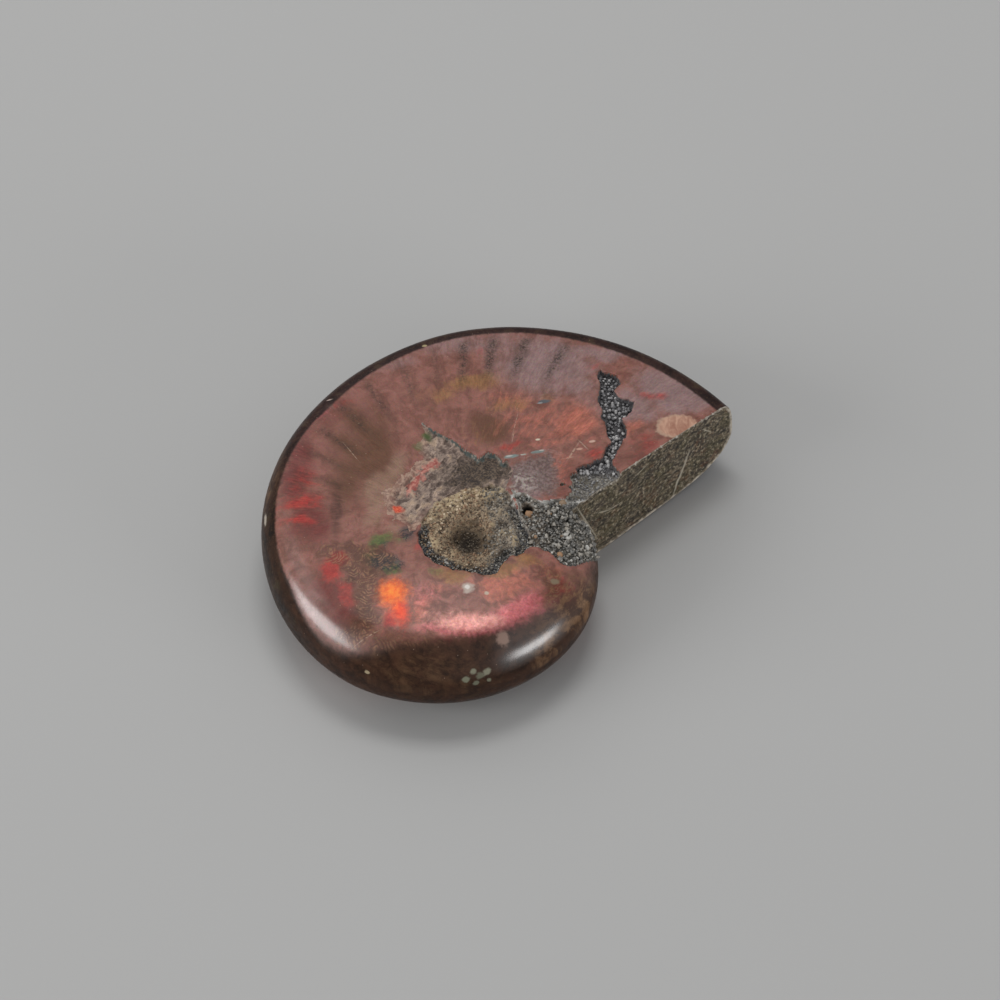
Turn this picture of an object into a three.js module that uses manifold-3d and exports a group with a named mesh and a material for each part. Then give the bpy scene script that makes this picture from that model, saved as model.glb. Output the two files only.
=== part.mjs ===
// A polished red ammonite, about 33 mm across, sawn off flat at its mouth.
//
// The shell is one coil. Its last turn is cut by a saw, and the turn before it shows beside the cut.
// Both flanks are ground nearly flat and polished. In the middle of each flank is the umbilicus, a
// dish of sandy matrix. The upper flank also has a ledge where the shell broke away, a crack filled
// with crystals and a pocket of dark crystals beside the saw cut.
//
// Units are millimetres and +Z is up. The coil is worked out around its own axis, the pole, with its
// middle plane at z = 0, and is then moved so that the middle of its box stands on z = 0.

import * as THREE from 'three';
import { mergeVertices } from 'three/addons/utils/BufferGeometryUtils.js';
import Module from 'manifold-3d';

const wasm = await Module();
wasm.setup();

// ---------------------------------------------------------------- driving dimensions

// Radius of the rim from the pole, at every 20 degrees back from the lip along the coil.
const rimRadii = [
  21.05, 19.65, 18.32, 17.13, 15.9, 14.93, 14.24, 13.62, 12.97, 12.44, 11.98, 11.36,
  10.81, 10.35, 9.98, 9.64, 9.2, 8.72, 8.35, 8.05, 7.75, 7.45, 7.15, 6.85,
];
const rimStep = 20;
const lipAngle = 30.95;           // direction of the lip from the pole, in degrees from +X

// The cross-section: half thickness at the edge of the flank, how much the flank swells towards
// the pole, and how much thinner the edge is at the lip.
const flankHalfThickness = 3.3;
const flankSwell = 0.45;
const lipThinning = 0.15;
const thinningTurn = 60;

// The rim rounds from the flank to the middle plane, over a width and with a squareness that
// change along the coil. The upper side is squarer near the lip than the lower side.
const rimTurns = [0, 60, 100, 140, 190, 230, 460];
const upperRim = {
  widths: [1.15, 1.3, 1.4, 1.8, 2.5, 3.1, 3.2],
  squareness: [2.7, 2.6, 2.5, 2.4, 2.25, 2.15, 2.15],
};
const lowerRim = {
  widths: [4.2, 2.4, 2.1, 2.2, 2.6, 3.0, 3.2],
  squareness: [1.95, 2.2, 2.3, 2.3, 2.2, 2.15, 2.15],
};

// The saw cut: its direction in degrees, its distance from the pole at the middle plane, and how
// many degrees it leans out at the bottom.
const sawAngle = 39.6;
const sawOffset = 3.51;
const sawLean = 1.8;

// The underside is ground to a true plane a little below the full swell.
const groundDepth = flankHalfThickness + flankSwell - 0.08;

// Grid of the coil: columns around the pole, rings on a flank and steps down each half of the rim.
const columnCount = 96;
const flankRings = [0.22, 0.42, 0.62, 0.82, 1];
const rimSteps = 4;

// First columns of the two discs. The last turn starts a little before the lip, so that the saw has
// something to cut, and the older turn about a quarter of a turn behind the lip, on the same columns.
const lastTurnStart = -5;
const olderTurnStart = 25;

// ---------------------------------------------------------------- small helpers

const radians = (degrees) => (degrees * Math.PI) / 180;

// A repeatable number from 0 to 1 for each whole number.
function chance(index) {
  const value = Math.sin(index * 127.1 + 11.7) * 43758.5453;
  return value - Math.floor(value);
}

// Straight-line interpolation in a table of rising places.
function interpolate(places, values, at) {
  let i = 1;
  while (i < places.length - 1 && places[i] < at) i += 1;
  const share = THREE.MathUtils.clamp((at - places[i - 1]) / (places[i] - places[i - 1]), 0, 1);
  return values[i - 1] + (values[i] - values[i - 1]) * share;
}

// A three.js geometry as a manifold solid, with only its positions kept.
function toSolid(geometry) {
  const bare = geometry.clone();
  bare.deleteAttribute('normal');
  bare.deleteAttribute('uv');
  const merged = mergeVertices(bare, 1e-5);
  return new wasm.Manifold(new wasm.Mesh({
    numProp: 3,
    vertProperties: Float32Array.from(merged.attributes.position.array),
    triVerts: Uint32Array.from(merged.index.array),
  }));
}

// A manifold solid as a three.js geometry.
function toGeometry(solid) {
  const mesh = solid.getMesh();
  const geometry = new THREE.BufferGeometry();
  geometry.setAttribute('position', new THREE.BufferAttribute(mesh.vertProperties.slice(), 3));
  geometry.setIndex(new THREE.BufferAttribute(mesh.triVerts.slice(), 1));
  return geometry;
}

// A closed surface from rings of points that run from a top point to a bottom point.
function ringedGeometry(top, rings, bottom) {
  const count = rings[0].length;
  const points = [top, ...rings.flat(), bottom];
  const at = (ring, column) => 1 + ring * count + (column % count);
  const faces = [];
  for (let i = 0; i < count; i += 1) {
    faces.push(0, at(0, i), at(0, i + 1));
    for (let r = 0; r < rings.length - 1; r += 1) {
      faces.push(at(r, i), at(r + 1, i), at(r + 1, i + 1));
      faces.push(at(r, i), at(r + 1, i + 1), at(r, i + 1));
    }
    faces.push(points.length - 1, at(rings.length - 1, i + 1), at(rings.length - 1, i));
  }
  const geometry = new THREE.BufferGeometry();
  geometry.setAttribute('position', new THREE.Float32BufferAttribute(points.flat(), 3));
  geometry.setIndex(faces);
  return geometry;
}

// ---------------------------------------------------------------- the coil

// Radius of the rim at an angle back from the lip, smooth through the driving radii.
const rimCurve = new THREE.CatmullRomCurve3(
  rimRadii.map((radius, i) => new THREE.Vector3(i * rimStep, Math.log(radius), 0)),
);

function rimRadius(turn) {
  if (turn < 0) return rimRadii[0] * (rimRadii[0] / rimRadii[1]) ** (-turn / rimStep);
  const share = turn / (rimStep * (rimRadii.length - 1));
  return Math.exp(rimCurve.getPoint(Math.min(share, 1)).y);
}

// Height of a flank above the middle plane, from its share of the way from the pole to its edge.
function flankHeight(share, turn = thinningTurn) {
  const thinning = lipThinning * Math.max(0, 1 - Math.max(turn, 0) / thinningTurn);
  return flankHalfThickness + flankSwell * (1 - share ** 3) - thinning * share ** 2;
}

// Half a cross-section, from the pole along the flank and down to the middle plane, as pairs of
// a radius and a height.
function halfSection(turn, rim) {
  const width = interpolate(rimTurns, rim.widths, turn);
  const power = interpolate(rimTurns, rim.squareness, turn);
  const flankEdge = rimRadius(turn) - width;
  const edgeHeight = flankHeight(1, turn);
  const section = flankRings.map((share) => [flankEdge * share, flankHeight(share, turn)]);
  for (let i = 1; i <= rimSteps; i += 1) {
    const bend = (Math.PI * i) / (2 * rimSteps);
    const out = Math.sin(bend) ** (2 / power);
    const up = i === rimSteps ? 0 : Math.cos(bend) ** (2 / power);
    section.push([flankEdge + width * out, edgeHeight * up]);
  }
  return section;
}

// The points of one column, from the upper flank round the rim to the lower flank.
function columnPoints(column) {
  const turn = (column * 360) / columnCount;
  const angle = radians(lipAngle + ((column + columnCount) % columnCount) * (360 / columnCount));
  const upper = halfSection(turn, upperRim);
  const lower = halfSection(turn, lowerRim).slice(0, -1).reverse();
  const section = [...upper, ...lower.map(([radius, height]) => [radius, -height])];
  return section.map(([radius, z]) => [radius * Math.cos(angle), radius * Math.sin(angle), z]);
}

// One whole turn of the coil as a closed disc, from a first column onwards.
function coilDisc(firstColumn) {
  const columns = [];
  for (let i = 0; i < columnCount; i += 1) columns.push(columnPoints(firstColumn + i));
  const rings = columns[0].map((point, ring) => columns.map((column) => column[ring]));
  return toSolid(ringedGeometry([0, 0, flankHeight(0)], rings, [0, 0, -flankHeight(0)]));
}

// A block that fills everything beyond the saw plane.
function sawBlock() {
  const reach = 60;
  const block = new THREE.BoxGeometry(reach, reach, reach);
  block.translate(0, -reach / 2, 0);
  return toSolid(onSawPlane(block));
}

// Moves a block whose far side is y = 0 so that this side lies in the saw plane.
function onSawPlane(block) {
  block.rotateX(radians(-sawLean));
  block.translate(0, -sawOffset, 0);
  return block.rotateZ(radians(sawAngle));
}

// A block below the plane that the underside is ground to.
function grindingBlock() {
  const reach = 60;
  const block = new THREE.BoxGeometry(reach, reach, reach);
  block.translate(0, 0, -reach / 2 - groundDepth);
  return toSolid(block);
}

// ---------------------------------------------------------------- hollows and ledges

// A dish cut into a flank: an outline of radii around a centre, a shallow lip and a deep middle.
// side is 1 for the upper flank and -1 for the lower one.
function matrixDish({ centre, radii, lipDepth, floorDepth, pitDepth, side, seed }) {
  const [x, y] = centre;
  const face = flankHeight(0);
  const shares = [1, 1, 0.82, 0.55, 0.28];
  const depths = [-1, lipDepth, floorDepth, (floorDepth + pitDepth) / 2, pitDepth];
  const rings = shares.map((share, ring) => radii.map((radius, i) => {
    const angle = (i * 2 * Math.PI) / radii.length;
    const rough = ring < 2 ? 0 : 0.22 * (chance(seed + ring * 40 + i) - 0.5);
    const z = side * (face - depths[ring] + rough);
    return [x + radius * share * Math.cos(angle), y + radius * share * Math.sin(angle), z];
  }));
  const top = [x, y, side * (face + 1)];
  const bottom = [x, y, side * (face - pitDepth - 0.1)];
  if (side > 0) return toSolid(ringedGeometry(top, rings, bottom));
  return toSolid(ringedGeometry(bottom, [...rings].reverse(), top));
}

// A ragged hollow with a level floor, cut down from above the upper flank.
function levelHollow(outline, floor) {
  const shape = new THREE.Shape(outline.map(([x, y]) => new THREE.Vector2(x, y)));
  const depth = flankHeight(0) + 1 - floor;
  const geometry = new THREE.ExtrudeGeometry(shape, { depth, bevelEnabled: false });
  geometry.translate(0, 0, floor);
  return toSolid(geometry);
}

// The small hole between the umbilicus and the pocket, which narrows downwards.
const holePlace = [4.35, 1.55];
const holeRadius = 0.36;
const holeDepth = 1.1;

function taperedHole() {
  const cone = new THREE.CylinderGeometry(holeRadius, holeRadius * 0.35, holeDepth + 1, 9);
  cone.rotateX(Math.PI / 2);
  cone.translate(...holePlace, flankHeight(0) - holeDepth / 2 + 0.5);
  return toSolid(cone);
}

// The edge of the shell that broke away over the turn before, and the rough ground inside it.
const brokenLedge = [
  [-2.7, 8.35], [-1.5, 7.55], [-0.6, 7.0], [0.15, 6.3], [1.1, 5.45], [1.75, 6.0], [2.5, 5.7],
  [2.75, 5.1], [3.0, 5.35], [3.5, 4.4], [3.0, 3.0], [1.0, 2.4], [-1.5, 1.4], [-3.0, -0.6],
  [-3.5, -0.7], [-4.2, 0.0], [-4.7, 1.2], [-4.3, 2.6], [-3.6, 3.4], [-2.9, 4.1], [-2.5, 5.2],
  [-2.8, 6.4], [-2.5, 7.4],
];
const ledgeFloor = 3.42;

// The crack across the last turn, which widens where it runs along the saw cut.
const crackOutline = [
  [9.2, 13.4], [9.5, 12.9], [10.5, 12.5], [10.7, 11.9], [10.2, 11.3], [10.6, 10.6], [11.5, 10.3],
  [11.4, 9.5], [10.8, 8.9], [11.0, 7.7], [10.7, 6.6], [10.2, 5.7], [10.1, 4.8], [10.6, 3.6],
  [8.6, 2.0], [7.2, 1.2], [6.9, 3.2], [7.3, 4.3], [8.4, 5.0], [9.3, 5.7], [9.9, 6.9], [9.7, 8.2],
  [9.3, 9.2], [9.2, 10.6], [9.3, 11.9],
];
const crackFloor = 3.22;

// The pocket of dark crystals between the umbilicus, the saw cut and the older turn.
const pocketOutline = [
  [4.3, 1.9], [5.3, 1.75], [6.3, 2.0], [7.3, 2.0], [8.1, 2.1], [8.45, 1.0], [8.5, -0.4],
  [8.4, -1.8], [7.9, -2.9], [7.0, -3.2], [6.0, -2.9], [5.2, -1.9], [4.4, -1.8], [3.6, -1.2],
  [3.4, 0.8],
];
const pocketFloor = 3.26;

// Upper and lower umbilicus: the radius of the dish at every 30 degrees.
const upperDish = {
  centre: [0.7, -0.4], radii: [3.7, 3.2, 3.4, 3.5, 3.3, 3.1, 3.5, 3.3, 3.1, 3.4, 3.6, 3.3],
  lipDepth: 0.28, floorDepth: 0.5, pitDepth: 1.3, side: 1, seed: 3,
};
const lowerDish = {
  centre: [0.5, 0.1], radii: [3.4, 3.2, 3.5, 3.6, 3.2, 3.0, 3.3, 3.6, 3.4, 3.1, 3.3, 3.5],
  lipDepth: 0.35, floorDepth: 0.6, pitDepth: 1.1, side: -1, seed: 211,
};

// ---------------------------------------------------------------- lumps and crystals

// A rough lump, sunk by half into what it grows on.
function lump(x, y, z, size, seed) {
  const rock = new THREE.IcosahedronGeometry(size, 0);
  rock.rotateX(chance(seed) * 3);
  rock.rotateY(chance(seed + 1) * 3);
  rock.scale(1, 1, 0.75);
  rock.translate(x, y, z);
  return toSolid(rock);
}

// Pointed crystals with eight flat faces.
function crystal(x, y, z, size, seed) {
  const point = new THREE.OctahedronGeometry(size, 0);
  point.rotateX(chance(seed) * 3);
  point.rotateZ(chance(seed + 1) * 3);
  point.translate(x, y, z);
  return toSolid(point);
}

// Whether a place lies inside an outline.
function inside(outline, x, y) {
  let result = false;
  for (let i = 0, j = outline.length - 1; i < outline.length; j = i, i += 1) {
    const [ax, ay] = outline[i];
    const [bx, by] = outline[j];
    if ((ay > y) !== (by > y) && x < ax + ((bx - ax) * (y - ay)) / (by - ay)) result = !result;
  }
  return result;
}

// Whether a place is clear of the hole, and whether it is on the kept side of the saw cut.
const clearOfHole = (x, y) => Math.hypot(x - holePlace[0], y - holePlace[1]) > holeRadius + 0.4;
const keptBySaw = (x, y) => x * Math.sin(radians(sawAngle)) - y * Math.cos(radians(sawAngle)) < sawOffset;

// Grains on a jittered grid inside an outline, each made by a maker function.
function fillWith({ outline, spacing, size, surface, allowed, maker, seed }) {
  const xs = outline.map((point) => point[0]);
  const ys = outline.map((point) => point[1]);
  const grains = [];
  let index = seed;
  for (let x = Math.min(...xs); x < Math.max(...xs); x += spacing) {
    for (let y = Math.min(...ys); y < Math.max(...ys); y += spacing) {
      index += 3;
      const px = x + spacing * 0.6 * (chance(index) - 0.5);
      const py = y + spacing * 0.6 * (chance(index + 1) - 0.5);
      const grainSize = size * (0.75 + 0.5 * chance(index + 2));
      if (!inside(outline, px, py) || !allowed(px, py)) continue;
      grains.push(maker(px, py, surface(px, py), grainSize, index));
    }
  }
  return grains;
}

// Height of the older turn's upper side, which falls away at its rounded rim.
function olderSurface(x, y) {
  const turn = 360 + THREE.MathUtils.radToDeg(Math.atan2(y, x)) - lipAngle;
  const width = interpolate(rimTurns, upperRim.widths, turn);
  const power = interpolate(rimTurns, upperRim.squareness, turn);
  const past = (Math.hypot(x, y) - (rimRadius(turn) - width)) / width;
  if (past <= 0) return flankHalfThickness;
  return flankHalfThickness * (1 - Math.min(past, 0.95) ** power) ** (1 / power);
}

// Where the umbilicus floor carries lumps of matrix: a ring with a crest on its far side.
function matrixLumps() {
  const lumps = [];
  for (let i = 0; i < 14; i += 1) {
    const angle = (i * 2 * Math.PI) / 14;
    const radius = 2.1 + 0.7 * chance(i + 500);
    const x = upperDish.centre[0] + radius * Math.cos(angle);
    const y = upperDish.centre[1] + radius * Math.sin(angle);
    lumps.push(lump(x, y, flankHeight(0) - 0.62, 0.3 + 0.16 * chance(i + 600), i * 5));
  }
  return lumps;
}

// ---------------------------------------------------------------- putting the fossil together

function ammoniteSolid() {
  let body = coilDisc(lastTurnStart).subtract(sawBlock()).add(coilDisc(olderTurnStart));
  body = body.subtract(grindingBlock());
  body = body.subtract(levelHollow(brokenLedge, ledgeFloor));
  body = body.subtract(levelHollow(crackOutline, crackFloor));
  body = body.subtract(levelHollow(pocketOutline, pocketFloor));
  body = body.subtract(matrixDish(upperDish)).subtract(matrixDish(lowerDish));
  const pocketGrains = (x, y) => Math.min(pocketFloor, olderSurface(x, y)) + 0.02;
  const grains = [
    ...fillWith({
      outline: crackOutline, spacing: 0.82, size: 0.3, surface: () => crackFloor + 0.05,
      allowed: keptBySaw, maker: crystal, seed: 900,
    }),
    ...fillWith({
      outline: pocketOutline, spacing: 0.86, size: 0.36, surface: pocketGrains,
      allowed: clearOfHole, maker: lump, seed: 1500,
    }),
    ...fillWith({
      outline: brokenLedge, spacing: 1.15, size: 0.26, surface: () => ledgeFloor - 0.06,
      allowed: clearOfHole, maker: lump, seed: 2100,
    }),
    ...matrixLumps(),
  ];
  for (const grain of grains) body = body.add(grain);
  return body.subtract(taperedHole()).subtract(sawBlockBeside());
}

// The saw cut again, over the last turn only, so that no grain stands out of its flat face.
function sawBlockBeside() {
  const foot = 8.4;
  const length = 20;
  const block = new THREE.BoxGeometry(length, 4, 12);
  block.translate(foot + length / 2, -2, 0);
  return toSolid(onSawPlane(block));
}

const polishedShell = new THREE.MeshStandardMaterial({
  color: 0x8c4434, roughness: 0.22, metalness: 0.1,
});

const fossil = toGeometry(ammoniteSolid());
fossil.computeBoundingBox();
const boxCentre = fossil.boundingBox.getCenter(new THREE.Vector3());
fossil.translate(-boxCentre.x, -boxCentre.y, -fossil.boundingBox.min.z);
fossil.computeVertexNormals();

const ammonite = new THREE.Mesh(fossil, polishedShell);
ammonite.name = 'ammonite';

const specimen = new THREE.Group();
specimen.add(ammonite);

export default specimen;
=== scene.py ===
# %% [markdown]
# # A polished red ammonite, sawn off at its mouth
# An ammonite is the shell of a sea animal, coiled flat like a rope on a deck. This one turned to
# stone. It was then sawn off at the mouth, and both flanks were ground nearly flat and polished,
# so that the mother-of-pearl under the outer shell shows its red, orange and green fire.
#
# The real thing is one stone, and it comes here as one measured solid with flat facets. Blender's
# work is the fine surface: smooth polish, sandy hollows, sugar-like crystals, saw marks and colour.
# The measured solid is loaded first, because every later piece has to sit exactly on it.

# %% The measured solid
from math import cos, hypot, pi, radians, sin, tan

import bpy
import numpy as np
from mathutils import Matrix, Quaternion, Vector
from mathutils.geometry import delaunay_2d_cdt


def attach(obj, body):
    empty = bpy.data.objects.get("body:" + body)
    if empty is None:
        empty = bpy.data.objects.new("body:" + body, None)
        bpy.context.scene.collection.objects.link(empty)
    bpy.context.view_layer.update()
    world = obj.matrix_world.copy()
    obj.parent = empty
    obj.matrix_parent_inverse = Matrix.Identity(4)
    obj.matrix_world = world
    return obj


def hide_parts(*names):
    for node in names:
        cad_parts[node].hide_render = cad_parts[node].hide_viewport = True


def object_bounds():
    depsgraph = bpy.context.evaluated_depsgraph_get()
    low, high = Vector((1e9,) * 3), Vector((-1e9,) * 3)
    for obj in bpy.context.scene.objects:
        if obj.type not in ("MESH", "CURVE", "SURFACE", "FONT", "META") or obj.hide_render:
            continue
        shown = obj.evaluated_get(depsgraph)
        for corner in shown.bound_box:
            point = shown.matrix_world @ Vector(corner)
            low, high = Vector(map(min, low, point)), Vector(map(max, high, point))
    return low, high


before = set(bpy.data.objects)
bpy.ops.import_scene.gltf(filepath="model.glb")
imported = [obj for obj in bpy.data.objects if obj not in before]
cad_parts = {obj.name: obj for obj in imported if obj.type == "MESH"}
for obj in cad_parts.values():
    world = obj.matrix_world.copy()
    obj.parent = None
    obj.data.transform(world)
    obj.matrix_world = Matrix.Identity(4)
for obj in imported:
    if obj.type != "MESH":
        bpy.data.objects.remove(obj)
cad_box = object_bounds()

print("solid, in mm:", [[round(v * 1000, 2) for v in corner] for corner in cad_box])

# %% [markdown]
# ## The coil in numbers
# A coil is easiest to describe around its own axis, the pole. The angle is counted backwards from
# the lip, along the shell, and is called the turn. For each turn there is a rim radius. Reading
# those radii through a smooth curve gives an even spiral, where straight lines between them would
# leave corners that a polished surface shows at once. The radii are kept as logarithms, because a
# shell grows by a share of its size and not by a fixed step.

# %% Rim radius along the coil
RIM_RADII = np.array([
    21.05, 19.65, 18.32, 17.13, 15.9, 14.93, 14.24, 13.62, 12.97, 12.44, 11.98, 11.36,
    10.81, 10.35, 9.98, 9.64, 9.2, 8.72, 8.35, 8.05, 7.75, 7.45, 7.15, 6.85])
RIM_STEP = 20          # degrees between two radii
LIP_ANGLE = 30.95      # direction of the lip from the pole
POLE = np.array([-2.4121, -3.2858, 3.67])   # the pole in the measured solid's own frame, in mm


def rim_radius(turn):
    """Radius of the rim, in mm, at a turn in degrees back from the lip."""
    turn = np.asarray(turn, float)
    logs = np.log(RIM_RADII)
    logs = np.concatenate([[2 * logs[0] - logs[1]], logs, [2 * logs[-1] - logs[-2]]])
    place = np.clip(turn / RIM_STEP, 0, len(RIM_RADII) - 1.001)
    i = place.astype(int)
    f = place - i
    a, b, c, d = logs[i], logs[i + 1], logs[i + 2], logs[i + 3]
    smooth = b + 0.5 * f * (c - a + f * (2 * a - 5 * b + 4 * c - d + f * (3 * b - a - 3 * c + d)))
    before_lip = logs[1] + (logs[1] - logs[2]) * -turn / RIM_STEP
    return np.exp(np.where(turn < 0, before_lip, smooth))


print("rim at the lip and one turn back, in mm:", rim_radius([0, 340]).round(2))

# %% [markdown]
# ## The cross-section
# Each flank swells a little towards the pole, then the rim rounds over to the middle plane. The
# rounding is a superellipse: with a power of 2 it is a plain quarter ellipse, and with more it is
# squarer. The upper rim is tight and square near the lip and wide and round on the far side,
# which is why both the width and the power change along the coil.

# %% Flank and rim
HALF_THICKNESS, SWELL = 3.3, 0.45
LIP_THINNING, THINNING_TURN = 0.15, 60
GROUND_DEPTH = 3.67    # the underside is ground flat at this depth below the middle plane
RIM_TURNS = [0, 60, 100, 140, 190, 230, 460]
UPPER_RIM = [1.15, 1.3, 1.4, 1.8, 2.5, 3.1, 3.2], [2.7, 2.6, 2.5, 2.4, 2.25, 2.15, 2.15]
LOWER_RIM = [4.2, 2.4, 2.1, 2.2, 2.6, 3.0, 3.2], [1.95, 2.2, 2.3, 2.3, 2.2, 2.15, 2.15]


def rounded(turn, values):
    """A measure along the coil, averaged over 32 degrees so that it has no corners."""
    shifts = np.linspace(-16, 16, 9)
    return np.mean([np.interp(np.asarray(turn) + s, RIM_TURNS, values) for s in shifts], axis=0)


def flank_edge(turn, side=1):
    return rim_radius(turn) - rounded(turn, (UPPER_RIM if side > 0 else LOWER_RIM)[0])


def flank_height(share, turn):
    """Height of a flank above the middle plane, at a share of the way from pole to flank edge."""
    thinning = LIP_THINNING * np.maximum(0, 1 - np.maximum(turn, 0) / THINNING_TURN)
    return HALF_THICKNESS + SWELL * (1 - share ** 3) - thinning * share ** 2


def rim_point(turn, bend, side):
    """Radius and height on the rim; bend runs from 0 at the flank to 90 degrees at the middle."""
    width, power = (rounded(turn, v) for v in (UPPER_RIM if side > 0 else LOWER_RIM))
    out, up = sin(radians(bend)) ** (2 / power), cos(radians(bend)) ** (2 / power)
    edge = rim_radius(turn) - width
    sag = 3 * SWELL / edge * width * out * (1 - out)   # the rim starts with the flank's own slope
    return edge + width * out, side * (flank_height(1, turn) * up - sag)


# %% [markdown]
# ## The saw cut
# One plane cut the mouth off. It stands 3.51 mm from the pole and leans out a little at the
# bottom. A signed distance from this plane says on which side a point lies, and the same two
# directions, along the cut and up, later lay out the sawn face.

# %% The saw plane
SAW_ANGLE, SAW_LEAN, SAW_OFFSET = radians(39.6), radians(1.8), 3.51
ALONG_SAW = np.array([cos(SAW_ANGLE), sin(SAW_ANGLE)])
ACROSS_SAW = np.array([sin(SAW_ANGLE), -cos(SAW_ANGLE)])


def past_saw(x, y, z):
    """Millimetres past the saw plane; negative on the side that was kept."""
    return x * ACROSS_SAW[0] + y * ACROSS_SAW[1] - (SAW_OFFSET - z * tan(SAW_LEAN))


def on_saw(along, z):
    """The point of the saw plane at a distance along the cut and a height."""
    out = SAW_OFFSET - np.asarray(z) * tan(SAW_LEAN)
    x = along * ALONG_SAW[0] + out * ACROSS_SAW[0]
    y = along * ALONG_SAW[1] + out * ACROSS_SAW[1]
    return np.stack([x, y, z + 0 * x], axis=-1)


def row_end(bend, side, low, high):
    """The turn at which a row of the rim meets the saw plane, by halving the range."""
    for _ in range(40):
        turn = (low + high) / 2
        radius, z = rim_point(turn, bend, side)
        angle = radians(LIP_ANGLE + turn)
        if past_saw(radius * cos(angle), radius * sin(angle), z) > 0:
            low = turn
        else:
            high = turn
    return low


print("the rim's middle row runs from turn", round(row_end(90, 1, -8, 8), 2),
      "to", round(row_end(90, 1, 315, 350), 2))

# %% [markdown]
# ## Roughness by numbers
# Broken stone needs randomness that is the same at every run. This noise gives each corner of a
# square grid a fixed random value and blends smoothly between the corners. Layers of smaller
# and smaller grids added together look like grit.

# %% Noise and ramps
def noise(x, y, size, seed):
    """Smooth random values from -1 to 1, with lumps about `size` mm across."""
    u, v = np.asarray(x) / size + 31.7 * seed, np.asarray(y) / size + 11.3 * seed
    i, j = np.floor(u), np.floor(v)
    f, g = u - i, v - j
    f, g = f * f * (3 - 2 * f), g * g * (3 - 2 * g)

    def corner(a, b):
        value = np.sin(a * 127.1 + b * 311.7 + seed * 74.7) * 43758.5453
        return 2 * (value - np.floor(value)) - 1

    low = corner(i, j) * (1 - f) + corner(i + 1, j) * f
    high = corner(i, j + 1) * (1 - f) + corner(i + 1, j + 1) * f
    return low * (1 - g) + high * g


def grit(x, y, size, seed, layers=3):
    return sum(noise(x, y, size / 2 ** k, seed + k) / 2 ** k for k in range(layers))


def ramp(value, low, high):
    """0 below low, 1 above high and an S-curve between them."""
    share = np.clip((np.asarray(value) - low) / (high - low), 0, 1)
    return share * share * (3 - 2 * share)


# %% [markdown]
# ## Distances
# Every hollow gets its edge from the distance to an outline, and every line on the stone its
# width from the distance to that line. Both are made of straight pieces, so one helper measures
# the distance to a piece, and two others use it for each piece in turn and keep the smallest.

# %% Distances to outlines and lines
FAR = 9.0     # mm; nothing that a line does reaches this far from it


def to_piece(x, y, start, end):
    """Distance to a straight piece of line, and the share of it passed at the nearest place."""
    (ax, ay), (bx, by) = start, end
    dx, dy = bx - ax, by - ay
    share = np.clip(((x - ax) * dx + (y - ay) * dy) / (dx * dx + dy * dy), 0, 1)
    return np.hypot(x - ax - share * dx, y - ay - share * dy), share


def inside_by(x, y, outline):
    """How far inside an outline each point is, in mm; negative outside it."""
    outline = np.asarray(outline, float)
    nearest, within = np.full(np.shape(x), 1e9), np.zeros(np.shape(x), bool)
    for start, end in zip(outline, np.roll(outline, -1, axis=0)):
        nearest = np.minimum(nearest, to_piece(x, y, start, end)[0])
        (ax, ay), (bx, by) = start, end
        if ay != by:
            within ^= ((ay > y) != (by > y)) & (x < ax + (bx - ax) * (y - ay) / (by - ay))
    return np.where(within, nearest, -nearest)


def beside_lines(x, y, lines):
    """Distance to the nearest of some lines, and how far along it the nearest place lies."""
    across, along, passed = np.full(np.shape(x), FAR), np.zeros(np.shape(x)), 0.0
    for line in lines:
        for start, end in zip(line[:-1], line[1:]):
            length = hypot(end[0] - start[0], end[1] - start[1])
            far, share = to_piece(x, y, start, end)
            along = np.where(far < across, passed + share * length, along)
            across, passed = np.minimum(across, far), passed + length
    return across, along


def distance_to_line(x, y, line):
    return beside_lines(x, y, [line])[0]


print("the middle of a square of 2 mm is", inside_by(0, 0, [(-1, -1), (1, -1), (1, 1), (-1, 1)]),
      "mm inside it")


# %% [markdown]
# ## The hollows of the upper flank
# Four things break the polish. The umbilicus in the middle is a plug of sandy matrix with a dark
# pit. Above it, a layer of shell broke away and left a ledge. A crack full of crystals runs
# from the outer flank down to the saw cut, and a pocket of dark crystals lies where the older
# turn comes out from under the last one. All four are a depth taken off a smooth flank, so one
# function of place describes them, and there are no separate pieces that could come apart.

# %% Outlines of the hollows, in mm from the pole
UMBILICUS = [(-2.16, 1.41), (-2.75, 0.4), (-2.95, -0.6), (-2.8, -1.6), (-2.3, -2.4), (-1.5, -3.1),
             (-0.6, -3.55), (0.4, -3.8), (1.4, -3.9), (2.2, -3.7), (2.7, -3), (3.3, -2.4),
             (4.1, -2), (4.7, -1.55), (4.45, -0.7), (4.25, 0.3), (3.95, 1.1), (3.55, 1.85),
             (3.2, 2.6), (2.7, 3.2), (1.8, 3.45), (0.9, 3.3), (-0.2, 2.9), (-1.2, 2.3)]
BROKEN_LEDGE = [(-2.75, 8.4), (-1.5, 7.55), (-0.6, 7), (0.15, 6.3), (1.1, 5.45), (1.75, 5.95),
                (2.4, 5.75), (2.75, 5.1), (3, 5.4), (3.4, 4.4), (3, 3), (1, 2.4),
                (-1.5, 1.4), (-3, -0.6), (-3.5, -0.7), (-4.2, 0), (-4.8, 0.9), (-5.3, 2),
                (-4.9, 3), (-3.9, 3.9), (-3.1, 4.7), (-2.6, 5.5), (-2.9, 6.5), (-2.6, 7.4)]
LEDGE_STEP = BROKEN_LEDGE[:9]     # the sharp wall along the ledge's upper edge
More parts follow.
